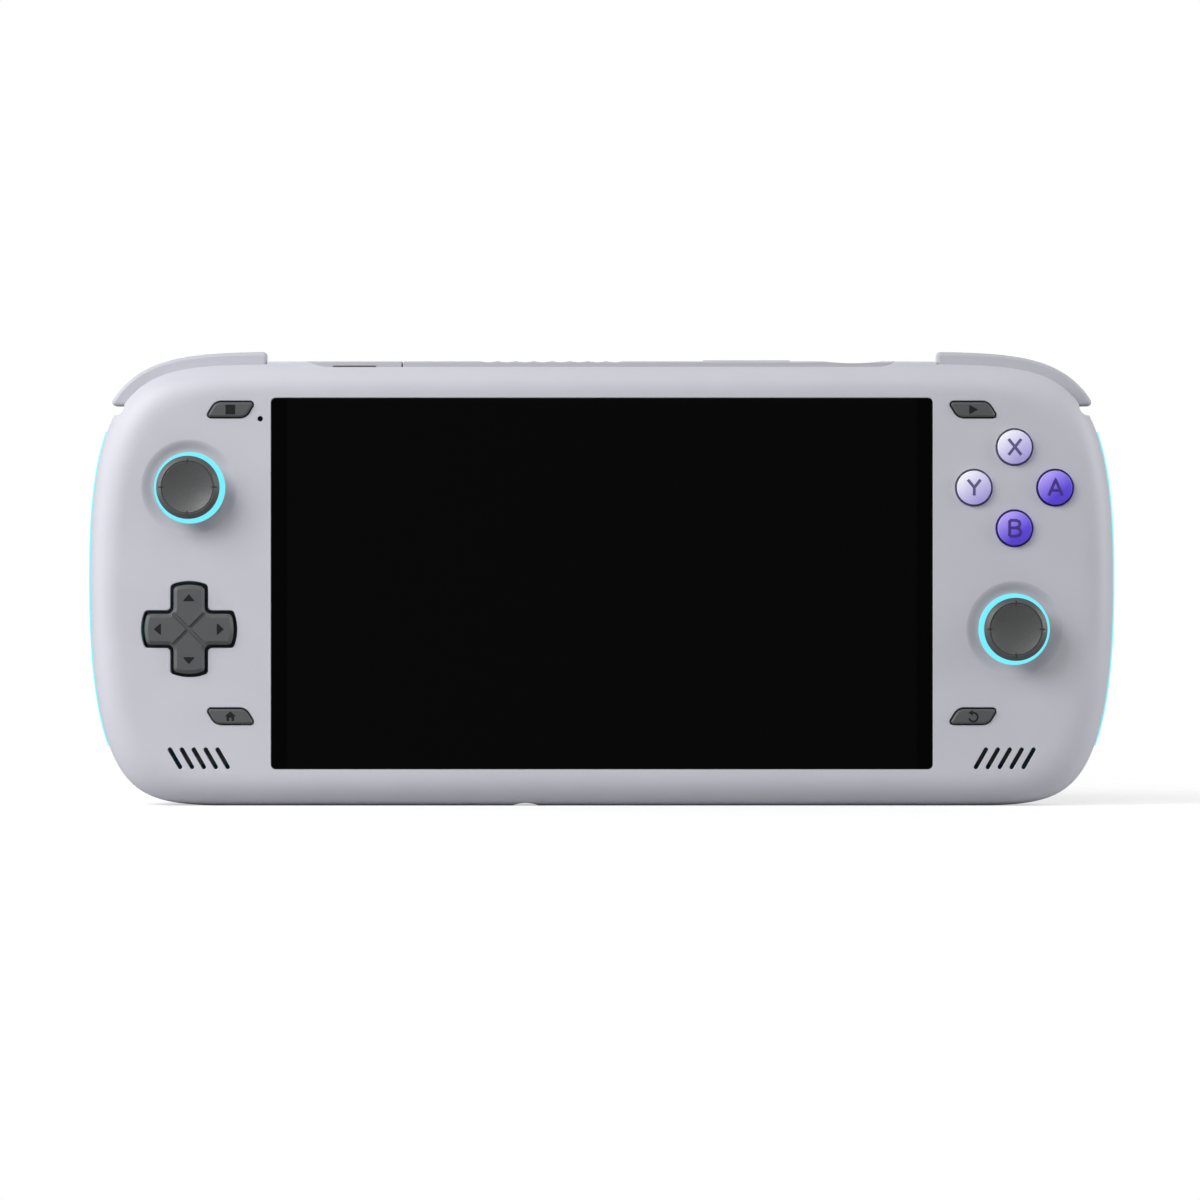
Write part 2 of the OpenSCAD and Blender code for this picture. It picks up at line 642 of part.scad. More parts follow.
module card_door() upright() color([0.72, 0.72, 0.76]) difference() {
  union() {
    block(door_x0 + 0.3, door_x1 - 0.3, half_h - 1.8, half_h, door_axis_z + 0.5, 4.5);
    cross_rod(door_x0 + 0.3, door_x1 - 0.3, door_axis_y, door_axis_z, 1);
  }
  cross_rod(door_x0 - 5, door_x1 + 5, door_axis_y, door_axis_z, door_pin_r + run);
  block(door_x - 4.6, door_x + 4.6, half_h - 0.5, half_h + 1, 3.7, 6);
}

module card_door_pin() upright() color([0.7, 0.71, 0.73]) cross_rod(door_x0 - 0.5, door_x1 + 1.4, door_axis_y, door_axis_z, door_pin_r);

module card_socket() upright() color([0.68, 0.69, 0.7]) difference() {
  block(door_x - 7, door_x + 7, half_h - 19, half_h - 3.6, main_z - 2.2, main_z);
  block(door_x - 5.6, door_x + 5.6, half_h - 17.5, half_h, main_z - 1.7, main_z - 0.6);
}

module mainboard() upright() color([0.08, 0.2, 0.14]) union() {
  block(4.6 - bar_half, bar_half - 2.6, half_h - 43, half_h - 7, main_z, main_z + main_t);
  for (x = [-36, 38, 48]) block(x - 4, x + 4, half_h - 35, half_h - 27, main_z - 1.2, main_z);
}

module control_board(s) color([0.08, 0.2, 0.14]) difference() {
  on_side(s) union() {
    block(ctrl_x0, ctrl_x1, -half_h + 17, half_h - 13, ctrl_z, ctrl_top);
    block(ctrl_x0, ctrl_x1 - 11, -half_h + 17, half_h - 8, ctrl_z, ctrl_top);
  }
  rod(s > 0 ? right_stick : left_stick, stick_room / 2 - 0.2, -5, 20);
}

module left_control_board() upright() union() {
  control_board(-1);
  color([0.2, 0.2, 0.21]) translate([pad_at[0], pad_at[1], 0]) difference() {
    rod([0, 0], pad_ball_r - 0.5, ctrl_top - 0.2, pad_pivot_z - 1.1);
    translate([0, 0, pad_pivot_z]) sphere(r = pad_ball_r + 0.1);
  }
}

module right_control_board() upright() control_board(1);

module battery() upright() color([0.16, 0.17, 0.18]) block(14 - frame_w / 2, frame_w / 2 - 26, -half_h + 17.5, half_h - 46, frame_z - 5.5, frame_z);

module fan_housing() upright() color([0.13, 0.13, 0.14]) translate([fan_at[0], fan_at[1], 0]) union() {
  difference() {
    block(-fan_half, fan_half, -fan_half, fan_half, fan_z, main_z);
    rod([0, 0], fan_r + 1.2, fan_z + 0.8, main_z - 1);
    rod([0, 0], fan_r - 3.5, fan_z - 1, fan_z + 2);
    block(-fan_half + 3, fan_half - 3, 6, 30, fan_z + 0.8, main_z - 1);
  }
  rod([0, 0], fan_shaft_r, fan_z + 1.6, main_z - 0.5);
}

module fan_rotor() upright() color([0.1, 0.1, 0.11]) translate([fan_at[0], fan_at[1], 0]) difference() {
  union() {
    rod([0, 0], 5, fan_z + 1.3, main_z - 1.4);
    rod([0, 0], fan_r - 1, main_z - 2.4, main_z - 1.8);
    for (i = [0:fan_blades - 1]) rotate([0, 0, 360 * i / fan_blades]) translate([4.6, 0, 0]) rotate([0, 0, 25])
      block(0, fan_r - 5, -0.3, 0.3, fan_z + 1.3, main_z - 2);
  }
  rod([0, 0], fan_shaft_r + run, -20, 20);
}

module heat_sink() upright() color([0.72, 0.45, 0.28]) union() {
  x0 = vent_x - 16;
  x1 = vent_x + 16.2;
  y0 = half_h - 8.3;
  block(x0, x1, y0, y0 + 4.9, main_z - 1, main_z);
  block(x1 - 0.6, x1 + 4.3, y0 - 0.3, y0 + 1.7, main_z - 1.4, main_z);
  block(x1 + 1, x1 + 4.3, y0 - 24.7, y0 + 1.7, main_z - 1.4, main_z);
  block(x1 + 3.8, x1 + 17, y0 - 24.7, y0 - 1.3, main_z - 1.4, main_z);
  for (i = [0:15]) block(x0 + 2.1 * i, x0 + 0.7 + 2.1 * i, y0, y0 + 4.9, fan_z + 0.9, main_z - 0.5);
}

module speaker(s) color([0.12, 0.12, 0.13]) on_side(s) union() {
  translate(speaker_at) block(-8.3, 4.6, -1.2, 4.9, wall_z - 4.6, wall_z);
  translate(speaker_at) block(-6.3, 3.6, -0.4, 3.7, wall_z - 5.4, wall_z - 4.4);
}

module left_speaker() upright() speaker(-1);

module right_speaker() upright() speaker(1);

module port_board() upright() color([0.08, 0.2, 0.14]) block(-25, 11, port_y, port_y + 8.6, port_z, port_z + 1);

module usb_port() upright() color([0.75, 0.76, 0.77]) translate([0, 0, usb_z]) union() {
  difference() {
    stadium_y(port_w, port_h, -foot_y + 0.3, port_y + 6);
    stadium_y(port_w - 0.6, port_h - 0.6, -foot_y - 1, port_y + 4.2);
  }
  block(-3.4, 3.4, -foot_y + 0.9, port_y + 4.6, -0.35, 0.35);
}

module audio_jack() upright() color([0.14, 0.14, 0.15]) difference() {
  union() {
    block(jack_x - 3.5, jack_x + 3.5, port_y + 1, port_y + 13, port_z - 6.4, port_z);
    long_rod(jack_x, jack_z, 2.9, -foot_y + 0.7, port_y + 1.5);
  }
  long_rod(jack_x, jack_z, jack_bore_r, -foot_y - 1, -foot_y + 0.7 + jack_depth);
}

module tact_switches() upright() color([0.2, 0.2, 0.21]) union() {
  for (s = [-1, 1]) for (y = [menu_up, menu_low]) {
    block(s * menu_x - 1.8, s * menu_x + 1.8, y - 1.8, y + 1.8, ctrl_top, switch_top - 0.4);
    rod([s * menu_x, y], 1, ctrl_top, switch_top);
  }
  for (x = [rocker_x - 7.4, rocker_x + 7.4, power_x]) {
    block(x - 2, x + 2, half_h - 8.8, half_h - 5.6, -1.2, main_z);
    long_rod(x, 0, 0.8, half_h - 6, half_h - 4.7);
  }
}

module case_screws() upright() color([0.3, 0.3, 0.31]) for (p = screw_spots) difference() {
  union() {
    rod(p, 2, screw_seat - 1.2, screw_seat);
    rod(p, screw_r, screw_seat - 0.5, 5);
  }
  translate([p[0], p[1], screw_seat - 1.3]) {
    translate([-1.2, -0.25, 0]) cube([2.4, 0.5, 0.6]);
    translate([-0.25, -1.2, 0]) cube([0.5, 2.4, 0.6]);
  }
}

front_shell();
rear_shell();
top_bar();
screen_glass();
display_panel();
mid_frame();
left_light_strip();
right_light_strip();
left_light_ring();
right_light_ring();
left_stick_cap();
right_stick_cap();
left_stick_pivot();
right_stick_pivot();
left_stick_gimbal();
right_stick_gimbal();
left_stick_base();
right_stick_base();
dpad();
dpad_pivot();
dpad_membrane();
button_a();
button_b();
button_x();
button_y();
face_button_membrane();
select_button();
start_button();
home_button();
back_button();
left_bumper();
right_bumper();
bumper_pins();
left_trigger();
right_trigger();
trigger_pins();
volume_rocker();
power_button();
card_door();
card_door_pin();
card_socket();
mainboard();
left_control_board();
right_control_board();
battery();
fan_housing();
fan_rotor();
heat_sink();
left_speaker();
right_speaker();
port_board();
usb_port();
audio_jack();
tact_switches();
case_screws();
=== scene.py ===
"""Looks of a handheld game console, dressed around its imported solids."""

import json
import math

import bmesh
import bpy
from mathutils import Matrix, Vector


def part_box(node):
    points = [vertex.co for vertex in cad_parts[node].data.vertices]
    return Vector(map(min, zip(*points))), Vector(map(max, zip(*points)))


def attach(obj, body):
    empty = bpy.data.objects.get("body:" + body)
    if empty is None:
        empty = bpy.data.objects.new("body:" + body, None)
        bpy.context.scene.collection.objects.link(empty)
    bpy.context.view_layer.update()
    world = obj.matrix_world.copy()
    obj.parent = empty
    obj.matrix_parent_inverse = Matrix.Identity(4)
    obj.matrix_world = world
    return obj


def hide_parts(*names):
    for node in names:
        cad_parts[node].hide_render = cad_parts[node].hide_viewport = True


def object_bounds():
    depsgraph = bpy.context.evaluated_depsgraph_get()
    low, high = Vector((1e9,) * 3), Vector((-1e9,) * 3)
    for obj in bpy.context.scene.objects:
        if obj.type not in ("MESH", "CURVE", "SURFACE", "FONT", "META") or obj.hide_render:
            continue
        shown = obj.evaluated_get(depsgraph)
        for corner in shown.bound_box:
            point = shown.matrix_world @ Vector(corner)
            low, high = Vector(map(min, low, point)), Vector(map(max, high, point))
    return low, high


bl_info = {
    "name": "Handheld Game Console",
    "version": (1, 0, 0),
    "blender": (4, 5, 0),
    "location": "View3D > Sidebar > Console",
    "description": "Shells, screen, controls and studio of a handheld game console",
    "category": "Object",
}

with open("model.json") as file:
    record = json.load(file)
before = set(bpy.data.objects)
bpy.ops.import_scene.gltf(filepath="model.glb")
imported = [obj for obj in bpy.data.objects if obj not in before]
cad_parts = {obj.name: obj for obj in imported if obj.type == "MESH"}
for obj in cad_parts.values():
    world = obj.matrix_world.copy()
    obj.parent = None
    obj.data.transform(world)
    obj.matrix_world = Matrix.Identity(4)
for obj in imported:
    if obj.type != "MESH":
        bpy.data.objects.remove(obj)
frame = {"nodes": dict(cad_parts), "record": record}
cad_low, cad_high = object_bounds()

# The drawing frame: millimetres, x to the right, y up the screen, z toward the player
MM = 0.001
PARTING_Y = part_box("front_shell")[1][1]
GLASS_LOW, GLASS_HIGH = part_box("screen_glass")
ORIGIN_Z = (GLASS_LOW[2] + GLASS_HIGH[2]) / 2


def drawn(point):
    """A point of the row frame in the drawing frame."""
    return (point[0] / MM, (point[2] - ORIGIN_Z) / MM, (PARTING_Y - point[1]) / MM)


def row(point):
    """A point of the drawing frame in the row frame."""
    return Vector((point[0] * MM, PARTING_Y - point[2] * MM, ORIGIN_Z + point[1] * MM))


def flat(node):
    """Low and high corners of a node in the drawing frame."""
    first, second = (drawn(corner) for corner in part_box(node))
    return (first[0], first[1], second[2]), (second[0], second[1], first[2])


def middle(node):
    """Middle of a node in the drawing frame."""
    low, high = flat(node)
    return tuple((a + b) / 2 for a, b in zip(low, high))


# Names of the pieces that come in sets; a menu key also has its lean
CASE = "case"
SIDES = {"left": -1, "right": 1}
FACE_KEYS = ("button_a", "button_b", "button_x", "button_y")
DEEP_KEYS = FACE_KEYS[:2]
MENU_KEYS = {"select_button": 0.6, "start_button": -0.6, "home_button": -0.6, "back_button": 0.6}

# Outside of the console, and levels beyond it for cutters
HALF_W, _, FACE_Z = flat("front_shell")[1]
HALF_H = flat("top_bar")[1][1]
FOOT_Y = flat("front_shell")[0][1]
BACK_Z = flat("rear_shell")[0][2]
THROUGH = (-20, 20)
FAR_BACK = -40

# Powers of the outline, across and up, above and below its middle
UPPER, LOWER = (14.0, 2.6), (18.4, 2.2)

# Points of a full circle, and of the outline where a cutter must not line up with a shell
ROUND = 96
UNALIGNED = 301

# Rounding of an opening's rim: its steps, and how far the cutter widens and clears the face
RIM_STEPS, RIM_FLARE, RIM_CLEAR, CUTTER_CLEAR = 6, 1.3, 0.03, 2.0
KEY_FLAT = 0.04

# Grips on the back: their reach from the side, the width of their rise, their middle and their fade
GRIP_REACH, GRIP_RISE, GRIP_DROP, GRIP_FADE = 50.6, 30, 8, 0.25
BACK_BEND, GRIP_BEND, BEND_POWER = 0.9, 0.12, 2.2
FLAT_FROM, FLAT_STEP, FLAT_RINGS, BEND_FROM, BEND_RINGS = 0.5, 0.035, 8, 0.78, 24

# Openings in the face of the front shell
WINDOW_MARGIN, WINDOW_CORNER = 0.5, 1
GLASS_GAP, GLASS_CORNER, GLASS_EDGE, RECESS_CORNER = 0.13, 1, 0.15, 1.1
FINE_RIM, BUTTON_RIM, MICROPHONE_RIM = 0.12, 0.06, 0.1
PAD_HOLE_GAP, PAD_HOLE_CORNER = 0.4, 0.9
BUTTON_GAP = 0.45
SPEAKER, SLOT_PITCH, SLOT_SIZE, SLOT_LEAN = (88.3, -38.3), 2.61, (4.4, 0.98), 30
MICROPHONE, MICROPHONE_R = (-74.85, 36.1), 0.6
NOTCH, NOTCH_R = (HALF_W - 5.7, HALF_H - 10), 2.0
DISH_W, DISH_LEDGE, DISH_STEPS, RING_GAP = 3.05, 0.02, 17, 0.05
FACE_INSET = 0.3

# Shoulder bays, their wall and the step in the front shell beside the bumpers
BAY_X, BAY_Y = 73.6, 36.8
BAY_WALL_X, BAY_WALL_Y, BAY_POWERS = 5.4, 6.4, (13, 2.6)
BAY_SKIN = 1.2
STEP, STEP_UP, STEP_BELOW_FACE = 0.75, 2.2, 2
CORNER_REACH = 60

# Rear shell: its screws, the stepped holes over them, their bosses and the grille of the fan
SCREWS = [(sign * x, y) for sign in SIDES.values() for x, y in ((67.5, 43.7), (67.5, -43.7), (76.0, 4.0))]
SCREW_HEAD_R, SCREW_R, SCREW_SEAT = 2.2, 1.3, -6.6
BOSS_R, BOSS_INSET, BOSS_TOP, CORE_TOP = 2.9, 0.25, -0.2, -0.1
GRILLE_PITCH, GRILLE_LENGTH, GRILLE_TAPER, GRILLE_WIDTH = 3.2, 20, 2, 1.4

# Ports in the lower edge, and the scoop in the edge over the audio socket
USB, JACK = middle("usb_port"), middle("audio_jack")
USB_Z, PORT_W, PORT_H, PORT_GAP = -0.4, 9.0, 3.2, 0.3
PORT_DEPTH, JACK_HOLE_R = 2.4, 3.05
JACK_SCOOP_DROP, JACK_SCOOP_R = 6.47, 7.07

# Light strips: their root in the shell, their gap and their sections; the hole of a light ring
STRIP_ROOT, STRIP_GAP, STRIP_ROUND, STRIP_STEPS = 2.2, 0.05, 0.35, 49
RING_HOLE, RING_ROUND, RING_FLANGE = 6.0, 0.15, 1

# Top bar with its vents, keys and door
BAR_LOW, BAR_HIGH = flat("top_bar")
BAR_BASE = HALF_H - 2.8
BAR_CORNER, BAR_BACK_CORNER, BAR_SLOPE, BAR_TRIM = 4.2, 0.2, 0.33, 0.02
BAR_SOFT, BAR_SEAT = 0.14, 0.05
BAR_BELOW, BAR_ABOVE = BAR_BASE - 5, HALF_H + 5
VENT_X, VENT_W, VENTS = -11.0, 31.8, 8
VENT_HALF, VENT_CORNER, VENT_SCOOP_UP, VENT_SCOOP_R = (1.4, 3.6), 0.6, 4.1, 4.4
ROCKER, ROCKER_W, ROCKER_PROUD = middle("volume_rocker"), 19.3, 0.2
POWER, POWER_W = middle("power_button"), 12.2
POWER_TOP = flat("power_button")[1][1]
SCOOP_R, SCOOP_DEPTH = 41.2, 0.5
KEY_HALF, KEY_CORNER, KEY_EDGE, KEY_ROOT = 1.9, 0.4, 0.22, 0.6
KEY_ROOM_HALF, KEY_ROOM_CORNER, ROCKER_PLAY, POWER_PLAY = 2.2, 0.5, 0.4, 0.6
MARK_X, MARK_HALF, MARK_THIN, MARK_FLOOR = 7, 0.7, 0.12, HALF_H + 0.1
DOOR_LOW, DOOR_HIGH = flat("card_door")
DOOR_GAP, DOOR_ROOM, DOOR_THICK, DOOR_SOFT = 0.3, -4.6, 1.8, 0.08
PIN_Y, PIN_Z, PIN_HOLE_R, BARREL_R = HALF_H - 1.1, -2.9, 0.55, 1.0
BARREL_TOP_Z, BARREL_ROOT_Z = PIN_Z + 0.5, PIN_Z + 0.8
SLIT_HALF, SLIT_LOW, SLIT_HIGH, SLIT_DEPTH = 4.75, 2.5, 1.12, 0.7

# Edges of the keys on the face, as pairs of inset and drop
PAD_BEVEL = ((0, 0.8), (0.03, 0.72), (0.1, 0.66), (0.74, 0.05), (0.79, 0.01), (0.84, 0), (0.88, 0))
MENU_BEVEL = ((0, 0.42), (0.05, 0.3), (0.3, 0.05), (0.38, 0), (0.42, 0))
STICK_GROOVE = ((0.95, 0.06), (1.02, 0), (1.12, 0.02), (1.16, 0.22), (1.26, 0.24), (1.32, 0.12))

# Thumb sticks: roundings, the hollow of the top and the four ticks in its groove
STICK_SINK, STICK_FOOT, STICK_EDGE, BAND_DROP, EDGE_DROP = 0.02, 0.6, 0.3, 1.0, 0.85
HOLLOW_INSET, HOLLOW_LOW, HOLLOW_RISE = 1.4, 1.22, 1.12
TICK_INSET, TICK_DEPTH = 1.15, 0.42
TICK = ((0.6, 0.16), (-0.6, 0.16), (-0.6, -0.16), (0.6, -0.16))

# Face buttons: radius of the dome, rounding of the edge, height of the flange and of the letters
DOME_R, BUTTON_EDGE, BUTTON_FLANGE, LETTER_SCALE = 12.0, 0.2, 1.2, 2.05

# Menu keys: tips and blunt corners of the outline, the signs, and the bow of the return sign
MENU_TIP, MENU_BLUNT, TIP_LOSS, SIGN_SCALE, SIGN_LIFT = 0.5, 2.2, 0.77, 1.12, 0.015
RETURN_R, RETURN_DROP, RETURN_STROKE = 0.96, 0.15, 0.4

# Direction pad: gaps of the moving pad, its corners, its diagonal grooves and its arrows
PAD_ARM_GAP, PAD_END_GAP, PAD_CORNER, PAD_FILLET = 0.32, 0.45, 1.0, 1.4
GROOVE_REACH, GROOVE_SECTION = 6.6, ((-0.34, -0.42), (0.34, -0.42), (0.5, 0.1), (-0.5, 0.1))
ARROW = ((6.1, -1.4, 0.15), (7.7, 0, 0.15), (6.1, 1.4, 0.15))
ARROW_DEPTH, ARROW_ROOT, ARROW_SINK, ARROW_GAP = 0.2, 0.3, 0.06, 0.02

# Inlaid strokes: length of a step, depth under the surface, lift above it and lift of each next stroke
STROKE_STEP, STROKE_ROOT, STROKE_LIFT, NEXT_LIFT = 0.25, 0.06, 0.012, 0.003

# Shoulder keys: powers of their curves, the wall behind them and their hinges
BOW_HIGH, BOW_OUTER, BOW_INNER, BOW_WALL, BOW_STEPS = 2.6, 12.5, 13, 3.4, 44
BUMPER_PROUD, BUMPER_START, BUMPER_CORNER = 2.4, (BAY_X + 0.3, BAY_Y + 2.4), 0.85
BUMPER_EDGE, BUMPER_FOOT, BUMPER_HINGE = 0.8, 0.4, (BAY_X + 3.4, HALF_H - 3)
BUMPER_EYE_R, BUMPER_BORE_R, EYE_ABOVE, EYE_BELOW = 2.3, 1.05, 0.6, 0.9
TRIGGER_PROUND, TRIGGER_START, TRIGGER_CORNER = 1.8, (BAY_X + 0.6, BAY_Y + 3.6), 0.58
TRIGGER_AXIS, TRIGGER_EYE_R, TRIGGER_BORE_R = (46.2, -6.2), 1.6, 0.85
TRIGGER_DEPTH, TRIGGER_TOP = 8.9, HALF_H + 1.85
TRIGGER_BOW_R, TRIGGER_BOW_Y, TRIGGER_BOW_AHEAD = 20, HALF_H - 18.4, 2.8
TRIGGER_BACK_EDGE, TRIGGER_FACE_EDGE, TRIGGER_STEPS = 0.45, 0.5, 12
TRIGGER_EYE_SPAN, TRIGGER_BORE_SPAN = (BAY_X + 0.65, BAY_X + 7.4), (BAY_X - 10, BAY_X + 6.9)
TRIGGER_SLANT, WEDGE, TRIGGER_SOFT = 18, 30, 0.2

# Studio
FLOOR_R, FADE_FROM, FADE_TO = 0.45, 0.1, 0.24
LENS, SENSOR, CLIP_START = 170.0, 36.0, 0.01
CAMERA_PLACE = (-0.0004, PARTING_Y - 1.2505, 0.0452)
LAMPS = (
    ("key_light", (-0.52, -0.4, 0.48), 0.4, 4.7),
    ("fill_light", (0.75, -0.9, 0.35), 0.9, 0.5),
    ("left_light", (-0.8, -0.08, 0.2), 0.5, 2.0),
    ("right_light", (0.8, -0.08, 0.25), 0.5, 3.4),
    ("top_light", (0.0, -0.62, 0.72), 0.5, 1.5),
    ("back_light", (0.0, 0.95, 0.24), 0.8, 3.6),
)

# Strokes of the letters, and outlines of the signs on the menu keys
LETTERS = {
    "button_a": [[(-0.72, -0.85), (0, 0.85), (0.72, -0.85)], [(-0.48, -0.3), (0.48, -0.3)]],
    "button_b": [
        [(-0.56, -0.85), (-0.56, 0.85)],
        [(-0.56, 0.85), (0.13, 0.85), (0.45, 0.72), (0.54, 0.45), (0.43, 0.17), (0.11, 0.04), (-0.56, 0.04)],
        [(0.11, 0.04), (0.49, -0.1), (0.65, -0.42), (0.52, -0.72), (0.16, -0.85), (-0.56, -0.85)],
    ],
    "button_x": [[(-0.68, -0.85), (0.68, 0.85)], [(-0.68, 0.85), (0.68, -0.85)]],
    "button_y": [[(-0.68, 0.85), (0, 0.0), (0.68, 0.85)], [(0, 0.0), (0, -0.85)]],
}
SIGNS = {
    "select_button": [(0.95, 0.95), (-0.95, 0.95), (-0.95, -0.95), (0.95, -0.95)],
    "start_button": [(0.95, 0), (-0.8, 0.95), (-0.8, -0.95)],
    "home_button": [
        (0, 1.0), (-1.1, 0.02), (-0.75, 0.02), (-0.75, -0.9), (-0.22, -0.9), (-0.22, -0.25),
        (0.22, -0.25), (0.22, -0.9), (0.75, -0.9), (0.75, 0.02), (1.1, 0.02),
    ],
    "back_button": [(-0.95, 0.72), (-0.1, 0.16), (-0.1, 1.28)],
}

# Finishes once they are made, and the finish of each slot of the record that has another name
FINISHES = {}
SLOT_FINISH = {
    "stick_rubber": "stick",
    "pad_plastic": "dark_key",
    "button_deep": "violet",
    "button_pale": "lavender",
}


def size_setting(name, description, value):
    """Property of a length, given here in millimetres."""
    return bpy.props.FloatProperty(
        name=name, description=description, default=value * MM, unit="LENGTH", precision=5
    )


def colour_setting(name, description, value):
    """Property of a colour."""
    return bpy.props.FloatVectorProperty(name=name, description=description, subtype="COLOR", default=value)


class ConsoleSizes(bpy.types.PropertyGroup):
    """Sizes of the visible forms."""

    wall: size_setting("Wall", "Thickness of the shell walls", 1.8)
    front_round: size_setting("Front Round", "Radius of the front edge", 7.0)
    side_wall: size_setting("Side Wall", "Straight wall behind the parting", 4.0)
    back_drop: size_setting("Back", "Depth of the flat back", 8.0)
    grip_bulge: size_setting("Grips", "Extra depth of the grips", 8.0)
    rim: size_setting("Hole Rim", "Rounding of the rims of openings", 0.22)
    seam: size_setting("Seam", "Width of a seam between mouldings", 0.12)
    play: size_setting("Play", "Gap around a menu key and at the ends of the direction pad", 0.3)
    dish: size_setting("Dish", "Depth of the dish around a stick", 0.8)
    key_w: size_setting("Key Width", "Width of a menu key", 9.65)
    key_h: size_setting("Key Height", "Height of a menu key", 3.25)
    pad_span: size_setting("Pad Span", "Span of the direction pad", 20.4)
    pad_arm: size_setting("Pad Arm", "Width of an arm of the direction pad", 7.4)
    face_r: size_setting("Button Radius", "Radius of a face button", 3.71)
    ring_r: size_setting("Ring Radius", "Outer radius of a light ring", 7.8)
    letter: size_setting("Letter Stroke", "Stroke width of the letters", 0.64)


class ConsoleColours(bpy.types.PropertyGroup):
    """Colours of the finishes."""

    shell: colour_setting("Shell", "Lilac grey of the shells", (0.56, 0.56, 0.62))
    trim: colour_setting("Trim", "Shoulder keys", (0.5, 0.5, 0.55))
    bar: colour_setting("Bar", "Top bar and its keys", (0.42, 0.42, 0.46))
    dark_key: colour_setting("Dark Keys", "Direction pad and menu keys", (0.09, 0.092, 0.095))
    legend: colour_setting("Dark Legend", "Marks on the dark keys", (0.014, 0.014, 0.015))
    stick: colour_setting("Stick", "Thumb stick rubber", (0.074, 0.076, 0.077))
    violet: colour_setting("Violet", "Deep face buttons", (0.1, 0.042, 0.84))
    # Painted highlight: the paler colour that the deep buttons fade to on their upper left, where the key
    # light falls
    violet_painted_highlight: colour_setting("Violet Pale", "Upper side of the deep buttons", (0.45, 0.34, 0.96))
    violet_legend: colour_setting("Violet Legend", "Letters on the deep buttons", (0.05, 0.02, 0.25))
    lavender: colour_setting("Lavender", "Pale face buttons", (0.5, 0.45, 1.0))
    # Painted highlight: the paler colour that the pale buttons fade to on their upper left, where the key
    # light falls
    lavender_painted_highlight: colour_setting("Lavender Pale", "Upper side of the pale buttons", (0.92, 0.9, 1.0))
    lavender_legend: colour_setting("Lavender Legend", "Letters on the pale buttons", (0.11, 0.09, 0.26))
    glow: colour_setting("Glow", "Light of rings and strips", (0.18, 0.84, 1.0))
    glass: colour_setting("Glass", "Black of the cover glass", (0.0021, 0.0021, 0.0021))


def size(key):
    """One of the sizes in millimetres, without the noise of single precision."""
    return round(getattr(bpy.context.scene.console_sizes, key) / MM, 5)


class Field:
    """A value socket of a shader tree that takes part in arithmetic."""

    def __init__(self, shader, socket):
        self.shader = shader
        self.socket = socket

    def _math(self, operation, first, second):
        return self.shader.add("ShaderNodeMath", {"operation": operation}, {0: first, 1: second})

    def __add__(self, other):
        return self._math("ADD", self, other)

    __radd__ = __add__

    def __sub__(self, other):
        return self._math("SUBTRACT", self, other)

    def __rsub__(self, other):
        return self._math("SUBTRACT", other, self)

    def __mul__(self, other):
        return self._math("MULTIPLY", self, other)

    __rmul__ = __mul__

    def __lt__(self, other):
        return self._math("LESS_THAN", self, other)

    def __gt__(self, other):
        return self._math("GREATER_THAN", self, other)


class Shader:
    """Builds the node tree of one material."""

    def __init__(self, name):
        self.material = bpy.data.materials.new(name)
        self.material.use_nodes = True
        self.tree = self.material.node_tree
        self.surface = self.tree.nodes["Principled BSDF"]

    def add(self, kind, settings=None, sockets=None, output=0):
        """A new node: its settings first, then the values or links of its sockets. Returns one output."""
        node = self.tree.nodes.new(kind)
        for key, value in (settings or {}).items():
            setattr(node, key, value)
        for key, value in (sockets or {}).items():
            self.plug(node.inputs[key], value)
        return Field(self, node.outputs[output])

    def plug(self, socket, value):
        """Links a field to a socket or sets its value."""
        if isinstance(value, Field):
            self.tree.links.new(value.socket, socket)
        elif socket.type == "RGBA" and len(value) == 3:
            socket.default_value = (*value, 1.0)
        else:
            socket.default_value = value

    def set(self, **sockets):
        """Sets or links inputs of the surface, named with underscores for spaces."""
        for key, value in sockets.items():
            self.plug(self.surface.inputs[key.replace("_", " ")], value)

    def place(self):
        """Position on the object, in metres."""
        return self.add("ShaderNodeTexCoord", output="Object")

    def ray(self, kind):
        """One where the ray is of a kind, else zero."""
        return self.add("ShaderNodeLightPath", output=kind)

    def noise(self, scale, detail=2.0, rough=0.5):
        """Noise of about 1 / scale metres."""
        sockets = {"Vector": self.place(), "Scale": scale, "Detail": detail, "Roughness": rough}
        return self.add("ShaderNodeTexNoise", {}, sockets)

    def blend(self, factor, first, second):
        """Mix of two colours."""
        return self.add("ShaderNodeMix", {"data_type": "RGBA"}, {0: factor, 6: first, 7: second}, 2)

    def bump(self, height, strength, distance):
        """Normal of a height field; the distance is in millimetres."""
        sockets = {"Height": height, "Strength": strength, "Distance": distance * MM}
        return self.add("ShaderNodeBump", {}, sockets)


class WorldShader(Shader):
    """Builds the node tree of the world."""

    def __init__(self, world):
        self.tree = world.node_tree
        self.surface = self.tree.nodes["Background"]


def shade(colour, factor):
    """A colour made darker or lighter."""
    return tuple(min(1.0, c * factor) for c in colour)


def moulded_plastic(name, colour, rough=0.46, grain=0.12, tone=0.04, gloss=0.35):
    """Moulded plastic with a fine spark-eroded grain and faint cloudiness."""
    shader = Shader(name)
    cloud = shader.noise(90.0, detail=3.0)
    fine = shader.noise(5200.0)
    shader.set(
        Base_Color=shader.blend(cloud, shade(colour, 1 - tone), shade(colour, 1 + tone)),
        Roughness=rough - 0.05 + cloud * 0.06 + fine * 0.04,
        Specular_IOR_Level=gloss,
        Normal=shader.bump(fine, grain, 0.05),
    )
    return shader.material


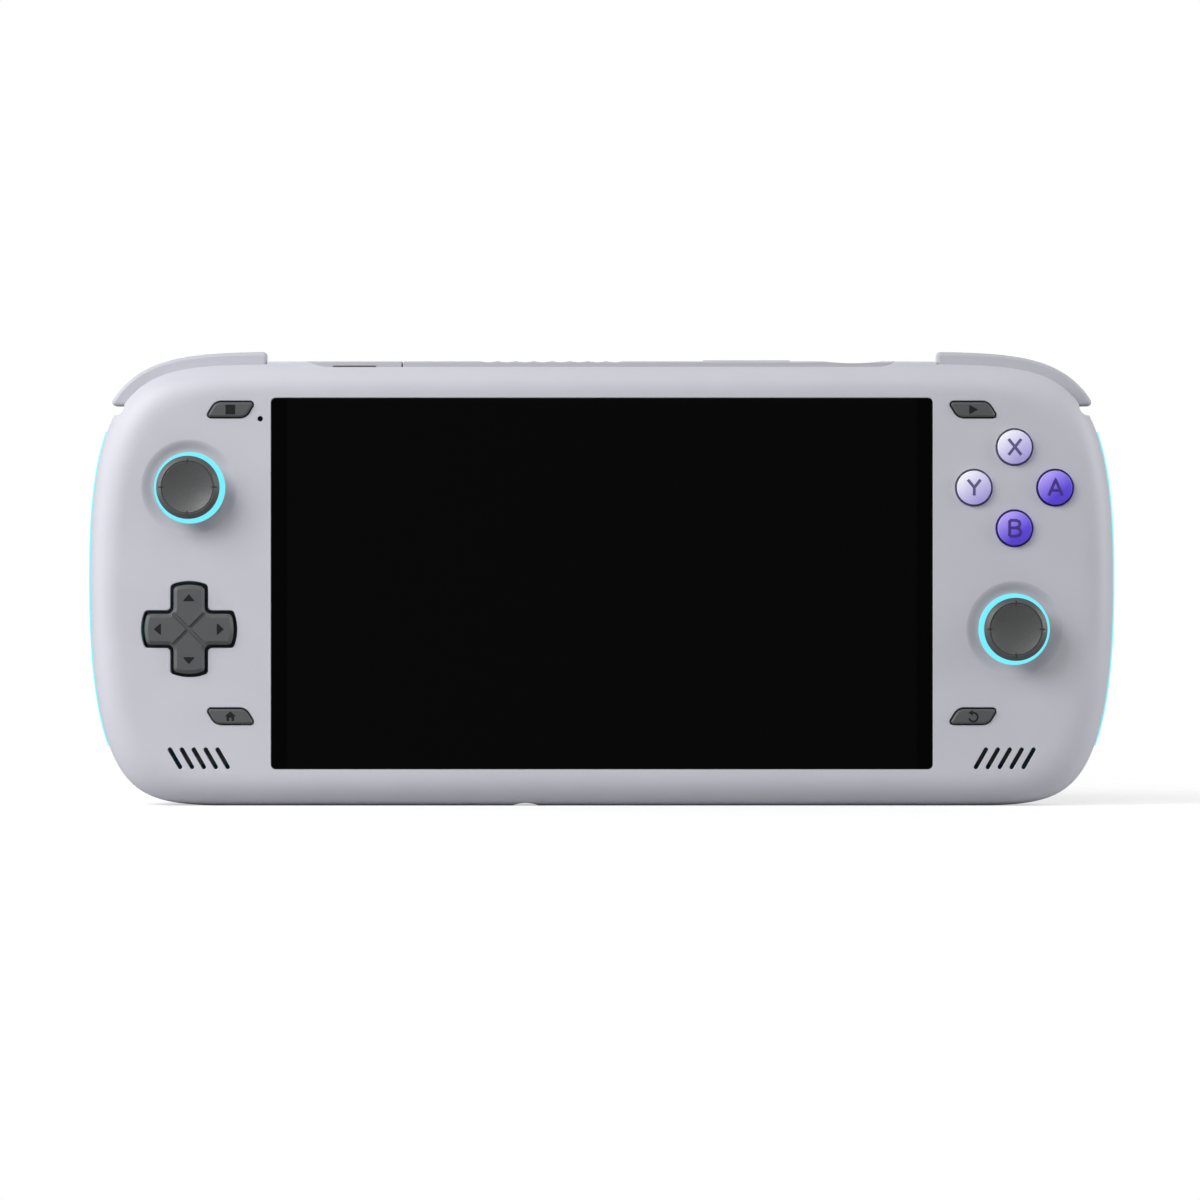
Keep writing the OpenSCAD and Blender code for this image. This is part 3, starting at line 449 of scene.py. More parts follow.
def glossy_plastic(name, colour, rough=0.38, coat=0.9, pale=None, centre=None, share=0.0, rise=0.0):
    """Button plastic under a satin clear coat; where asked, a painted highlight fades the colour to a paler
    one on its upper left, where the key light falls.
    """
    shader = Shader(name)
    cloud = shader.noise(420.0)
    base = shader.blend(cloud, shade(colour, 0.95), shade(colour, 1.05))
    if pale:
        painted_highlight_side = (-0.62, 0.0, 0.78)
        across = shader.add(
            "ShaderNodeVectorMath", {"operation": "DOT_PRODUCT"}, {0: shader.place(), 1: painted_highlight_side}, "Value"
        )
        at_centre = Vector(painted_highlight_side).dot(row(centre))
        # Painted highlight: the base colour fades to the pale colour across the button toward its upper left
        base = shader.blend((across - at_centre) * rise + share, base, pale)
    shader.set(
        Base_Color=base,
        Roughness=rough + cloud * 0.05,
        Coat_Weight=coat,
        Coat_Roughness=0.36,
        Normal=shader.bump(shader.noise(3000.0, detail=1.0), 0.03, 0.03),
    )
    return shader.material


def soft_rubber(name, colour, grain=0.6):
    """Matt rubber with a sanded surface."""
    shader = Shader(name)
    speck = shader.noise(3000.0, detail=3.0, rough=0.65)
    cloud = shader.noise(300.0)
    shader.set(
        Base_Color=shader.blend(speck, shade(colour, 0.7), shade(colour, 1.35)),
        Roughness=0.34 + cloud * 0.1,
        Normal=shader.bump(speck, grain, 0.12),
    )
    return shader.material


def light_guide(name, colour):
    """Frosted light guide that glows evenly."""
    shader = Shader(name)
    cloud = shader.noise(700.0, detail=1.0)
    shader.set(
        Base_Color=shade(colour, 0.05),
        Roughness=0.35 + cloud * 0.1,
        Emission_Color=shader.blend(cloud, shade(colour, 0.97), shade(colour, 1.03)),
        Emission_Strength=1.0,
    )
    return shader.material


def cover_glass(name, colour, half_w):
    """Black cover glass: the width of the display is a trace lighter than the printed border beside it."""
    shader = Shader(name)
    place = shader.add("ShaderNodeSeparateXYZ", {}, {"Vector": shader.place()}, "X")
    side = shader.add("ShaderNodeMath", {"operation": "ABSOLUTE"}, {0: place})
    inside = side < half_w * MM
    smear = shader.noise(25.0, detail=3.0)
    shader.set(
        Base_Color=shader.blend(inside * 0.6, shade(colour, 0.6), shade(colour, 1.5)),
        Roughness=0.08 + smear * 0.05,
        Specular_IOR_Level=0.02,
    )
    return shader.material


def worked_metal(name, colour, rough):
    """Ground or plated metal with fine scratches."""
    shader = Shader(name)
    scratch = shader.noise(2600.0, detail=3.0)
    shader.set(
        Base_Color=shader.blend(scratch, shade(colour, 0.9), shade(colour, 1.05)),
        Metallic=1.0,
        Roughness=rough + scratch * 0.12,
        Normal=shader.bump(scratch, 0.08, 0.03),
    )
    return shader.material


def circuit_board(name, colour):
    """Solder mask over copper tracks."""
    shader = Shader(name)
    track = shader.add(
        "ShaderNodeTexVoronoi",
        {"feature": "DISTANCE_TO_EDGE", "distance": "EUCLIDEAN"},
        {"Vector": shader.place(), "Scale": 420.0},
    )
    line = track < 0.06
    shader.set(
        Base_Color=shader.blend(line, colour, shade(colour, 1.7)),
        Roughness=0.35 + line * 0.1,
        Normal=shader.bump(line, 0.1, 0.04),
    )
    return shader.material


def studio_paper(name):
    """White paper with a faint tooth, clear at its rim."""
    shader = Shader(name)
    away = shader.add("ShaderNodeVectorMath", {"operation": "LENGTH"}, {0: shader.place()}, "Value")
    fade = shader.add(
        "ShaderNodeMapRange",
        {"interpolation_type": "SMOOTHSTEP"},
        {"Value": away, "From Min": FADE_FROM, "From Max": FADE_TO, "To Min": 1.0, "To Max": 0.0},
    )
    tooth = shader.noise(900.0)
    shader.set(
        Base_Color=shader.blend(tooth, (0.53, 0.53, 0.53), (0.56, 0.56, 0.56)),
        Roughness=0.9 + tooth * 0.05,
        Alpha=fade,
        Emission_Color=shader.blend(shader.ray("Is Camera Ray"), (0.0, 0.0, 0.0), (0.5, 0.5, 0.5)),
        Emission_Strength=1.0,
        Specular_IOR_Level=0.1,
    )
    return shader.material


def finishes():
    """Materials of the console by name, made once."""
    if not FINISHES:
        tint = bpy.context.scene.console_colours
        FINISHES.update(
            shell=moulded_plastic("shell_plastic", tint.shell, 0.42),
            trim=moulded_plastic("trim_plastic", tint.trim, 0.44),
            bar=moulded_plastic("bar_plastic", tint.bar, 0.44),
            glass=cover_glass("cover_glass", tint.glass, flat("display_panel")[1][0]),
            light=light_guide("light_guide", tint.glow),
            stick=soft_rubber("stick_rubber", tint.stick),
            dark_key=moulded_plastic("dark_key_plastic", tint.dark_key, 0.4, 0.1, 0.06),
            legend=moulded_plastic("dark_legend", tint.legend, 0.6, 0.05, gloss=0.15),
            violet=glossy_plastic("violet_plastic", tint.violet),
            violet_legend=glossy_plastic("violet_legend", tint.violet_legend, 0.3, 0.3),
            lavender=glossy_plastic("lavender_plastic", tint.lavender),
            lavender_legend=glossy_plastic("lavender_legend", tint.lavender_legend, 0.3, 0.3),
            panel=glossy_plastic("display_panel", (0.01, 0.01, 0.012), 0.2),
            frame_metal=worked_metal("frame_metal", (0.55, 0.56, 0.57), 0.35),
            dark_plastic=moulded_plastic("dark_plastic", (0.025, 0.025, 0.027), 0.5),
            membrane=soft_rubber("key_membrane", (0.3, 0.3, 0.32), 0.2),
            steel=worked_metal("steel", (0.6, 0.6, 0.61), 0.25),
            tin=worked_metal("plated_sheet", (0.5, 0.5, 0.51), 0.3),
            copper=worked_metal("copper", (0.75, 0.36, 0.2), 0.3),
            board=circuit_board("circuit_board", (0.012, 0.06, 0.035)),
            cell=moulded_plastic("battery_film", (0.03, 0.03, 0.033), 0.35),
        )
        # Each face button gets its own material with a painted highlight toward its upper left; share and
        # rise set where and how fast it fades in
        for node in FACE_KEYS:
            deep = node in DEEP_KEYS
            FINISHES[node] = glossy_plastic(
                node + "_plastic",
                tint.violet if deep else tint.lavender,
                pale=tuple(tint.violet_painted_highlight if deep else tint.lavender_painted_highlight),
                centre=middle(node),
                share=0.3 if deep else 0.48,
                rise=190.0 if deep else 150.0,
            )
    return FINISHES


def finish_piece(obj, body, finish, *nodes, smooth=35.0):
    """Shades a piece, gives it its finish and lets it ride on a body in place of the nodes."""
    for polygon in obj.data.polygons:
        polygon.use_smooth = True
    obj.data.set_sharp_from_angle(angle=math.radians(smooth))
    obj.data.materials.clear()
    obj.data.materials.append(finishes()[finish])
    level_faces = obj.modifiers.new("level_faces", "WEIGHTED_NORMAL")
    level_faces.keep_sharp = True
    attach(obj, body)
    if nodes:
        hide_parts(*nodes)


def placed(name, data):
    """Object of the scene for a mesh, a light or a camera."""
    obj = bpy.data.objects.new(name, data)
    bpy.context.scene.collection.objects.link(obj)
    return obj


def mesh_of(name, form):
    """Mesh of a form, which is freed."""
    mesh = bpy.data.meshes.new(name)
    form.to_mesh(mesh)
    form.free()
    return mesh


def new_object(name, form):
    """Turns a form, a bmesh of drawing-frame points, into an object of the row frame."""
    for vert in form.verts:
        vert.co = row(vert.co)
    bmesh.ops.remove_doubles(form, verts=form.verts, dist=1e-8)
    bmesh.ops.recalc_face_normals(form, faces=form.faces)
    return placed(name, mesh_of(name, form))


def form_of(obj):
    """Takes an object's mesh back into a form of the drawing frame and removes the object."""
    form = bmesh.new()
    form.from_mesh(obj.data)
    for vert in form.verts:
        vert.co = drawn(vert.co)
    bpy.data.objects.remove(obj)
    return form


def loft_form(rings, form=None):
    """Skin over rings with the same number of points, with flat ends; it joins a form or starts one."""
    if form is None:
        form = bmesh.new()
    layers = [[form.verts.new(point) for point in ring] for ring in rings]
    count = len(rings[0])
    for lower, upper in zip(layers, layers[1:]):
        for i in range(count):
            j = (i + 1) % count
            form.faces.new((lower[i], lower[j], upper[j], upper[i]))
    form.faces.new(list(reversed(layers[0])))
    form.faces.new(layers[-1])
    return form


def turned_form(profile, centre, count=ROUND, form=None):
    """Form turned about a line toward the player; profile is (radius, z) from one end to the other."""
    if form is None:
        form = bmesh.new()
    layers = []
    for radius, z in profile:
        ring = circle(centre, radius, count, z) if radius > 1e-6 else [(centre[0], centre[1], z)]
        layers.append([form.verts.new(point) for point in ring])
    for lower, upper in zip(layers, layers[1:]):
        for i in range(count):
            j = (i + 1) % count
            near = [lower[i % len(lower)], lower[j % len(lower)]]
            far = [upper[j % len(upper)], upper[i % len(upper)]]
            form.faces.new(list(dict.fromkeys(near + far)))
    return form


def prism(points, low, high, form=None):
    """Straight prism toward the player over a plane outline."""
    return loft_form([level(points, low), level(points, high)], form)


def upright(plan, bottom, top, form=None):
    """Prism that stands on a plan (x, z)."""
    return loft_form([[(point[0], y, point[1]) for point in plan] for y in (bottom, top)], form)


def bar_along_x(profile, x0, x1):
    """Prism along x over (y, z) points."""
    return loft_form([[(x, y, z) for y, z in profile] for x in (x0, x1)])


def carve(obj, form, operation="DIFFERENCE", overlap=False):
    """Applies a boolean with a form."""
    cutter = new_object("cutter", form)
    modifier = obj.modifiers.new("carve", "BOOLEAN")
    modifier.operation = operation
    modifier.solver = "EXACT"
    modifier.use_self = overlap
    modifier.object = cutter
    baked = bpy.data.meshes.new_from_object(obj.evaluated_get(bpy.context.evaluated_depsgraph_get()))
    obj.modifiers.clear()
    old = obj.data
    obj.data = baked
    bpy.data.meshes.remove(old)
    bpy.data.objects.remove(cutter)
    if not baked.polygons:
        raise RuntimeError("nothing left of " + obj.name)
    return obj


def soften(obj, width):
    """Rounds the sharp edges of a piece, after merging slivers that would hold the rounding back."""
    form = bmesh.new()
    form.from_mesh(obj.data)
    bmesh.ops.remove_doubles(form, verts=form.verts, dist=0.02 * MM)
    bmesh.ops.dissolve_limit(form, angle_limit=math.radians(0.4), verts=form.verts, edges=form.edges)
    form.to_mesh(obj.data)
    form.free()
    bevel = obj.modifiers.new("edge", "BEVEL")
    bevel.width = width * MM
    bevel.segments = 2
    bevel.limit_method = "ANGLE"
    bevel.angle_limit = math.radians(35.0)
    bevel.use_clamp_overlap = False


def circle(centre, radius, count=ROUND, z=0):
    """Points of a level circle."""
    step = 2 * math.pi / count
    x, y = centre[0], centre[1]
    return [(x + radius * math.cos(step * i), y + radius * math.sin(step * i), z) for i in range(count)]


def arc(centre, radius, start, stop, count):
    """Points of a plane arc, angles in degrees."""
    angles = [math.radians(start + (stop - start) * i / (count - 1)) for i in range(count)]
    return [(centre[0] + radius * math.cos(a), centre[1] + radius * math.sin(a)) for a in angles]


def quarter_turn(steps):
    """Angles of a quarter turn in even steps."""
    return [math.pi / 2 * i / (steps - 1) for i in range(steps)]


def turned(points, centre, degrees):
    """Plane points turned about the origin and moved to a centre."""
    cos, sin = math.cos(math.radians(degrees)), math.sin(math.radians(degrees))
    return [(centre[0] + x * cos - y * sin, centre[1] + x * sin + y * cos) for x, y in points]


def level(points, z):
    """Plane points at one level."""
    return [(point[0], point[1], z) for point in points]


def clamped(value):
    """A value held between zero and one."""
    return min(1.0, max(0.0, value))


def span(sign, near, far):
    """Low and high x of a stretch on one side of the console."""
    return sorted((sign * near, sign * far))


def signed_power(value, exponent):
    """Power that keeps the sign."""
    return math.copysign(abs(value) ** exponent, value)


def squircle(half_w, half_h, upper=UPPER, count=256, foot=True):
    """Outline of the console: a superellipse, squarer in its lower half, cut flat at the foot."""
    points = []
    for i in range(count):
        t = 2 * math.pi * i / count
        wide, high = upper if math.sin(t) > 0 else LOWER
        y = half_h * signed_power(math.sin(t), 2 / high)
        points.append((half_w * signed_power(math.cos(t), 2 / wide), max(y, FOOT_Y) if foot else y))
    return points


def edge_x(half_w, y):
    """Half width of the console outline at a height."""
    wide, high = UPPER if y > 0 else LOWER
    return half_w * (1 - abs(y / HALF_H) ** high) ** (1 / wide)


def inset_outline(inset, z):
    """Outline of the console at a level, moved inward."""
    return level(squircle(HALF_W - inset, HALF_H - inset), z)


def grown(points, distance):
    """A closed outline, drawn counter-clockwise, moved outward along its normals."""
    count = len(points)
    moved = []
    for i, point in enumerate(points):
        before, after = points[i - 1], points[(i + 1) % count]
        first = Vector((point[0] - before[0], point[1] - before[1])).normalized()
        second = Vector((after[0] - point[0], after[1] - point[1])).normalized()
        normal = Vector((first.y + second.y, -first.x - second.x))
        normal.normalize()
        lean = max(0.5, normal.dot(Vector((first.y, -first.x))))
        moved.append((point[0] + normal.x * distance / lean, point[1] + normal.y * distance / lean))
    return moved


def box_points(x0, x1, y0, y1):
    """Corners of a plane rectangle, counter-clockwise."""
    return [(x1, y1), (x0, y1), (x0, y0), (x1, y0)]


def rounded_box(half_w, half_h, radius, centre=(0, 0)):
    """Rectangle with round corners, counter-clockwise from the upper right."""
    points = []
    for quarter, (side, top) in enumerate(((1, 1), (-1, 1), (-1, -1), (1, -1))):
        corner = (centre[0] + side * (half_w - radius), centre[1] + top * (half_h - radius))
        points += arc(corner, radius, 90 * quarter, 90 * quarter + 90, 9)
    return points


def rounded_path(corners, count):
    """Closed outline, drawn counter-clockwise, of (x, y, radius) corners; a radius of 0 keeps the point."""
    points = []
    total = len(corners)
    for i, (x, y, radius) in enumerate(corners):
        if not radius:
            points.append((x, y))
            continue
        here = Vector((x, y))
        to_before = (Vector(corners[i - 1][:2]) - here).normalized()
        to_after = (Vector(corners[(i + 1) % total][:2]) - here).normalized()
        half = math.acos(max(-1, min(1, to_before.dot(to_after)))) / 2
        centre = here + (to_before + to_after).normalized() * (radius / math.sin(half))
        reach = radius / math.tan(half)
        start, stop = here + to_before * reach - centre, here + to_after * reach - centre
        sweep = -math.degrees(start.angle_signed(stop))
        for k in range(count):
            points += turned([start], centre, sweep * k / (count - 1))
    return points


def stadium(centre, length, width, degrees=0.0):
    """Outline of a round-ended slot, turned by an angle."""
    ends = arc((length / 2, 0), width / 2, -90, 90, 10) + arc((-length / 2, 0), width / 2, 90, 270, 10)
    return turned(ends, centre, degrees)


def cross_outline(centre, half_arm, reach, corner, fillet):
    """Outline of the direction pad: a cross with bowed ends and rounded corners."""
    out = math.sqrt((reach - corner) ** 2 - (half_arm - corner) ** 2)
    lean = math.degrees(math.atan2(half_arm - corner, out))
    arm = arc((half_arm + fillet, -half_arm - fillet), fillet, 180, 90, 6)
    arm += arc((out, corner - half_arm), corner, -90, -lean, 6)
    arm += arc((0, 0), reach, -lean, lean, 16)[1:-1]
    arm += arc((out, half_arm - corner), corner, lean, 90, 6)
    return [point for quarter in range(4) for point in turned(arm, centre, 90 * quarter)]


def menu_outline(node, grow):
    """Outline of a leaning menu key with two tips and two blunt corners, grown by a gap."""
    lean = MENU_KEYS[node]
    x, y, _ = middle(node)
    tip, blunt = MENU_TIP + grow, MENU_BLUNT + grow
    half_w, half_h = size("key_w") / 2 + grow + TIP_LOSS * tip, size("key_h") / 2 + grow
    back = half_w - 2 * abs(lean) * half_h
    if lean > 0:
        upper, lower = ((half_w, tip), (-back, blunt)), ((-half_w, tip), (back, blunt))
    else:
        upper, lower = ((back, blunt), (-half_w, tip)), ((-back, blunt), (half_w, tip))
    corners = [(x + px, y + half_h, radius) for px, radius in upper]
    corners += [(x + px, y - half_h, radius) for px, radius in lower]
    return rounded_path(corners, 9)


def rim_rings(points, bottom, face, rim):
    """Rings of a cutter for an opening whose upper rim is rounded."""
    rings = [level(points, bottom)]
    for angle in quarter_turn(RIM_STEPS):
        rings.append(level(grown(points, rim * (1 - math.cos(angle))), face - rim + rim * math.sin(angle)))
    mouth = grown(points, rim * RIM_FLARE)
    return rings + [level(mouth, face + RIM_CLEAR), level(mouth, face + CUTTER_CLEAR)]


def key_rings(points, bottom, top, edge, steps, foot=0.0):
    """Rings of a key: straight walls between a lower edge, rounded where asked, and a rounded upper edge."""
    rings = []
    for angle in reversed(quarter_turn(steps)) if foot else [0.0]:
        inset = foot * (1 - math.cos(angle))
        rings.append(level(grown(points, -inset), bottom + foot - foot * math.sin(angle)))
    for angle in quarter_turn(steps):
        inset = edge * (1 - math.cos(angle))
        rings.append(level(grown(points, -inset), top - edge + edge * math.sin(angle)))
    return rings + [level(grown(points, -edge - KEY_FLAT), top)]


def bevelled_rings(points, bottom, top, bevel):
    """Rings of a key whose upper edge is given as pairs of inset and drop."""
    return [level(points, bottom)] + [level(grown(points, -inset), top - drop) for inset, drop in bevel]


def front_rings(inset, steps=14):
    """Rings of the front skin, from the straight wall over the round edge to the face."""
    radius = size("front_round") - inset
    base = FACE_Z - size("front_round")
    rings = []
    for angle in quarter_turn(steps):
        cut = inset + radius * (1 - math.cos(angle))
        rings.append(inset_outline(cut, base + radius * math.sin(angle)))
    return rings


def front_skin():
    """Closed rings of the hollow front shell."""
    seam, wall = size("seam"), size("wall")
    inner = list(reversed(front_rings(wall)))
    mouth = [inset_outline(wall, 0), inset_outline(seam, 0), inset_outline(0, seam)]
    return inner + mouth + front_rings(0) + [inset_outline(size("front_round") + FACE_INSET, FACE_Z)]


def swell(x, y):
    """Share of the grip in the depth of the back."""
    share = clamped((abs(x) - HALF_W + GRIP_REACH) / GRIP_RISE)
    return share * share * (3 - 2 * share) * (1 - GRIP_FADE * ((y + GRIP_DROP) / HALF_H) ** 2)


def back_ring(inset, part):
    """Ring of the back skin, at a part of the way from the middle to the wall."""
    wall, bulge = size("side_wall"), size("grip_bulge")
    depth = size("back_drop") - wall - inset
    points = []
    for px, py in squircle(HALF_W - inset, HALF_H - inset, foot=False):
        x, y = part * px, part * py
        grip = swell(x, y)
        start = BACK_BEND - GRIP_BEND * grip
        bend = clamped((part - start) / (1 - start))
        drop = (depth + bulge * grip) * math.sqrt(max(0.0, 1 - bend**BEND_POWER))
        points.append((x, max(y, FOOT_Y), max(-wall - drop, BACK_Z)))
    return points


def back_rings(inset):
    """Rings of the back skin, from the flat middle to the wall, closer together toward it."""
    parts = [FLAT_FROM + FLAT_STEP * i for i in range(FLAT_RINGS)]
    parts += [BEND_FROM + (1 - BEND_FROM) * math.sin(angle) for angle in quarter_turn(BEND_RINGS)]
    return [back_ring(inset, part) for part in parts]


def dish_profile():
    """Turned cutter for the soft dish around a stick and the hole under it."""
    hole, floor = size("ring_r") + RING_GAP, FACE_Z - size("dish")
    start = hole + DISH_LEDGE
    profile = [(0, 0), (hole, 0), (hole, floor)]
    for i in range(DISH_STEPS):
        part = i / (DISH_STEPS - 1)
        rise = (size("dish") + RIM_CLEAR) * (1 - math.cos(math.pi * part)) / 2
        profile.append((start + DISH_W * part, floor + rise))
    return profile + [(start + DISH_W, FACE_Z + 3), (0, FACE_Z + 3)]


def cut_front_openings(shell):
    """Cuts the screen window, the control openings, the speaker slots and the microphone hole."""
    rim, play = size("rim"), size("play")
    panel = flat("display_panel")[1]
    glass_low, glass_high = flat("screen_glass")
    seat = glass_low[2]
    window = rounded_box(panel[0] + WINDOW_MARGIN, panel[1] + WINDOW_MARGIN, WINDOW_CORNER)
    recess = rounded_box(glass_high[0] + GLASS_GAP, glass_high[1] + GLASS_GAP, RECESS_CORNER)
    form = loft_form([level(window, 0), level(window, seat)] + rim_rings(recess, seat, FACE_Z, FINE_RIM))
    for side in SIDES:
        turned_form(dish_profile(), middle(side + "_light_ring"), form=form)
    half_arm, reach = size("pad_arm") / 2 + PAD_HOLE_GAP, size("pad_span") / 2 + play
    openings = [(cross_outline(middle("dpad"), half_arm, reach, PAD_HOLE_CORNER, PAD_HOLE_CORNER), rim)]
    openings += [(circle(middle(node), size("face_r") + BUTTON_GAP), BUTTON_RIM) for node in FACE_KEYS]
    openings += [(menu_outline(node, play), rim) for node in MENU_KEYS]
    for sign in SIDES.values():
        for i in range(-2, 3):
            place = (sign * SPEAKER[0] + SLOT_PITCH * i, SPEAKER[1])
            openings.append((stadium(place, *SLOT_SIZE, 90 - sign * SLOT_LEAN), FINE_RIM))
    openings.append((circle(MICROPHONE, MICROPHONE_R, 24), MICROPHONE_RIM))
    for outline, rounding in openings:
        loft_form(rim_rings(outline, 0, FACE_Z, rounding), form)
    for sign in SIDES.values():
        prism(circle((sign * NOTCH[0], NOTCH[1]), NOTCH_R, 64), -1, THROUGH[1], form)
    carve(shell, form)


def strip_sections(side, grow=0.0, rounding=0.0):
    """Sections of a light strip, one above the other along the side of the console."""
    low, high = flat(side + "_light_strip")
    sign = SIDES[side]
    proud = abs(low[0] if sign < 0 else high[0]) - HALF_W
    half_z = (high[2] - low[2]) / 2 + grow
    bottom, top = low[1] - grow, high[1] + grow
    sections = []
    for i in range(STRIP_STEPS):
        y = bottom + (top - bottom) * i / (STRIP_STEPS - 1)
        outer = edge_x(HALF_W + proud + grow, y)
        inner = edge_x(HALF_W - STRIP_ROOT - grow, y)
        edge = [(inner, -half_z)]
        for z, start in ((-half_z, -90), (half_z, 0)):
            if rounding:
                corner = (outer - rounding, z - math.copysign(rounding, z))
                edge += arc(corner, rounding, start, start + 90, 5)
            else:
                edge.append((outer, z))
        edge.append((inner, half_z))
        sections.append([(sign * x, y, z) for x, z in edge])
    return sections


def bar_plan(start, grow):
    """Plan (x, z) of the top bar from a place on, its front corners rounded."""
    front, back, stop = BAR_HIGH[2] + grow, BAR_LOW[2] - grow, BAR_HIGH[0] + grow
    start = start - grow
    corners = [(stop, front, BAR_CORNER), (start, front, BAR_CORNER)]
    corners += [(start, back, BAR_BACK_CORNER), (stop, back, BAR_BACK_CORNER)]
    return rounded_path(corners, 8)


def cut_edge_rooms(shell):
    """Cuts the rooms of the light strips, the top bar and the ports out of a shell."""
    form = bmesh.new()
    for side in SIDES:
        loft_form(strip_sections(side, STRIP_GAP), form)
    upright(bar_plan(BAR_LOW[0], size("seam")), BAR_BASE - BAR_SEAT, BAR_ABOVE, form)
    mouth, back = -HALF_H - 1, -HALF_H + PORT_DEPTH
    upright(stadium((USB[0], USB_Z), PORT_W - PORT_H, PORT_H + PORT_GAP), mouth, back, form)
    upright(circle((JACK[0], JACK[2]), JACK_HOLE_R, 48), mouth, back, form)
    carve(shell, form)
    carve(shell, prism(circle((JACK[0], FOOT_Y - JACK_SCOOP_DROP), JACK_SCOOP_R), *THROUGH))


def corner_block(sign, corner, inner, low, high):
    """Form outside a curved inner wall in an upper corner of the console."""
    x0, x1 = span(sign, corner[0], corner[0] + CORNER_REACH)
    outline = box_points(x0, x1, corner[1], corner[1] + CORNER_REACH)
    block = new_object("corner_block", prism(outline, low, high))
    return form_of(carve(block, prism(inner, low - 5, high + 5)))


def bay_block(sign, shrink, high):
    """Form of a shoulder bay up to a level, its walls moved inward by a distance."""
    inner = squircle(HALF_W - BAY_WALL_X - shrink, HALF_H - BAY_WALL_Y - shrink, BAY_POWERS, foot=False)
    return corner_block(sign, (BAY_X - shrink, BAY_Y - shrink), inner, FAR_BACK, high)


class CONSOLE_OT_front_shell(bpy.types.Operator):
    """Moulds the front shell with its openings"""

    bl_idname = "console.front_shell"
    bl_label = "Front Shell"

    def execute(self, context):
        shell = new_object("front_shell_moulding", loft_form(front_skin()))
        cut_front_openings(shell)
        cut_edge_rooms(shell)
        step = squircle(HALF_W - STEP, HALF_H - STEP, count=UNALIGNED, foot=False)
        for sign in SIDES.values():
            carve(shell, corner_block(sign, (BAY_X, BAY_Y + STEP_UP), step, -1, FACE_Z - STEP_BELOW_FACE))
        finish_piece(shell, CASE, "shell", "front_shell")
        return {"FINISHED"}


class CONSOLE_OT_rear_shell(bpy.types.Operator):
    """Moulds the rear shell with its grips, shoulder bays, bosses and fan grille"""

    bl_idname = "console.rear_shell"
    bl_label = "Rear Shell"

    def execute(self, context):
        seam, wall = size("seam"), size("wall")
        outer = back_rings(0) + [inset_outline(0, -seam), inset_outline(seam, 0)]
        inner = [inset_outline(wall, 0)] + list(reversed(back_rings(wall)))
        shell = new_object("rear_shell_moulding", loft_form(outer + inner))
        solid = back_rings(BOSS_INSET) + [inset_outline(BOSS_INSET, CORE_TOP)]
        core = new_object("rear_shell_bosses", loft_form(solid))
        carve(core, self.bosses(), "INTERSECT")
        for sign in SIDES.values():
            for piece in (shell, core):
                carve(piece, bay_block(sign, 0.0, 1))
        holes = self.holes()
        carve(core, holes.copy())
        carve(shell, holes)
        cut_edge_rooms(shell)
        finish_piece(shell, CASE, "shell", "rear_shell")
        finish_piece(core, CASE, "shell")
        return {"FINISHED"}

    def bosses(self):
        """Screw bosses and the walls of the shoulder bays, before they are trimmed to the back."""
        form = bmesh.new()
        for point in SCREWS:
            prism(circle(point, BOSS_R, 48), FAR_BACK, BOSS_TOP, form)
        for sign in SIDES.values():
            bay = mesh_of("bay", bay_block(sign, BAY_SKIN, BOSS_TOP))
            form.from_mesh(bay)
            bpy.data.meshes.remove(bay)
        return form

    def holes(self):
        """Stepped screw holes and the slots of the fan grille."""
        form = bmesh.new()
        profile = [(0, FAR_BACK), (SCREW_HEAD_R, FAR_BACK), (SCREW_HEAD_R, SCREW_SEAT)]
        profile += [(SCREW_R, SCREW_SEAT), (SCREW_R, 1), (0, 1)]
        for point in SCREWS:
            turned_form(profile, point, 48, form)
        x, y, _ = middle("fan_rotor")
        for i in range(-3, 4):
            length = GRILLE_LENGTH - GRILLE_TAPER * abs(i)
            prism(stadium((x, y + GRILLE_PITCH * i), length, GRILLE_WIDTH), THROUGH[0], -2, form)
        return form


def bar_profile():
    """Section (y, z) of the top bar: its front edge follows the round edge of the front shell."""
    radius = size("front_round")
    base = FACE_Z - radius
    sweep = math.asin((BAR_HIGH[2] - base) / radius)
    points = [(BAR_BASE, BAR_LOW[2]), (BAR_BASE, BAR_HIGH[2])]
    for i in range(13):
        angle = sweep * (1 - i / 12)
        points.append((HALF_H - radius * (1 - math.cos(angle)), base + radius * math.sin(angle)))
    return points + [(HALF_H, -size("side_wall")), (HALF_H - BAR_SLOPE, BAR_LOW[2])]


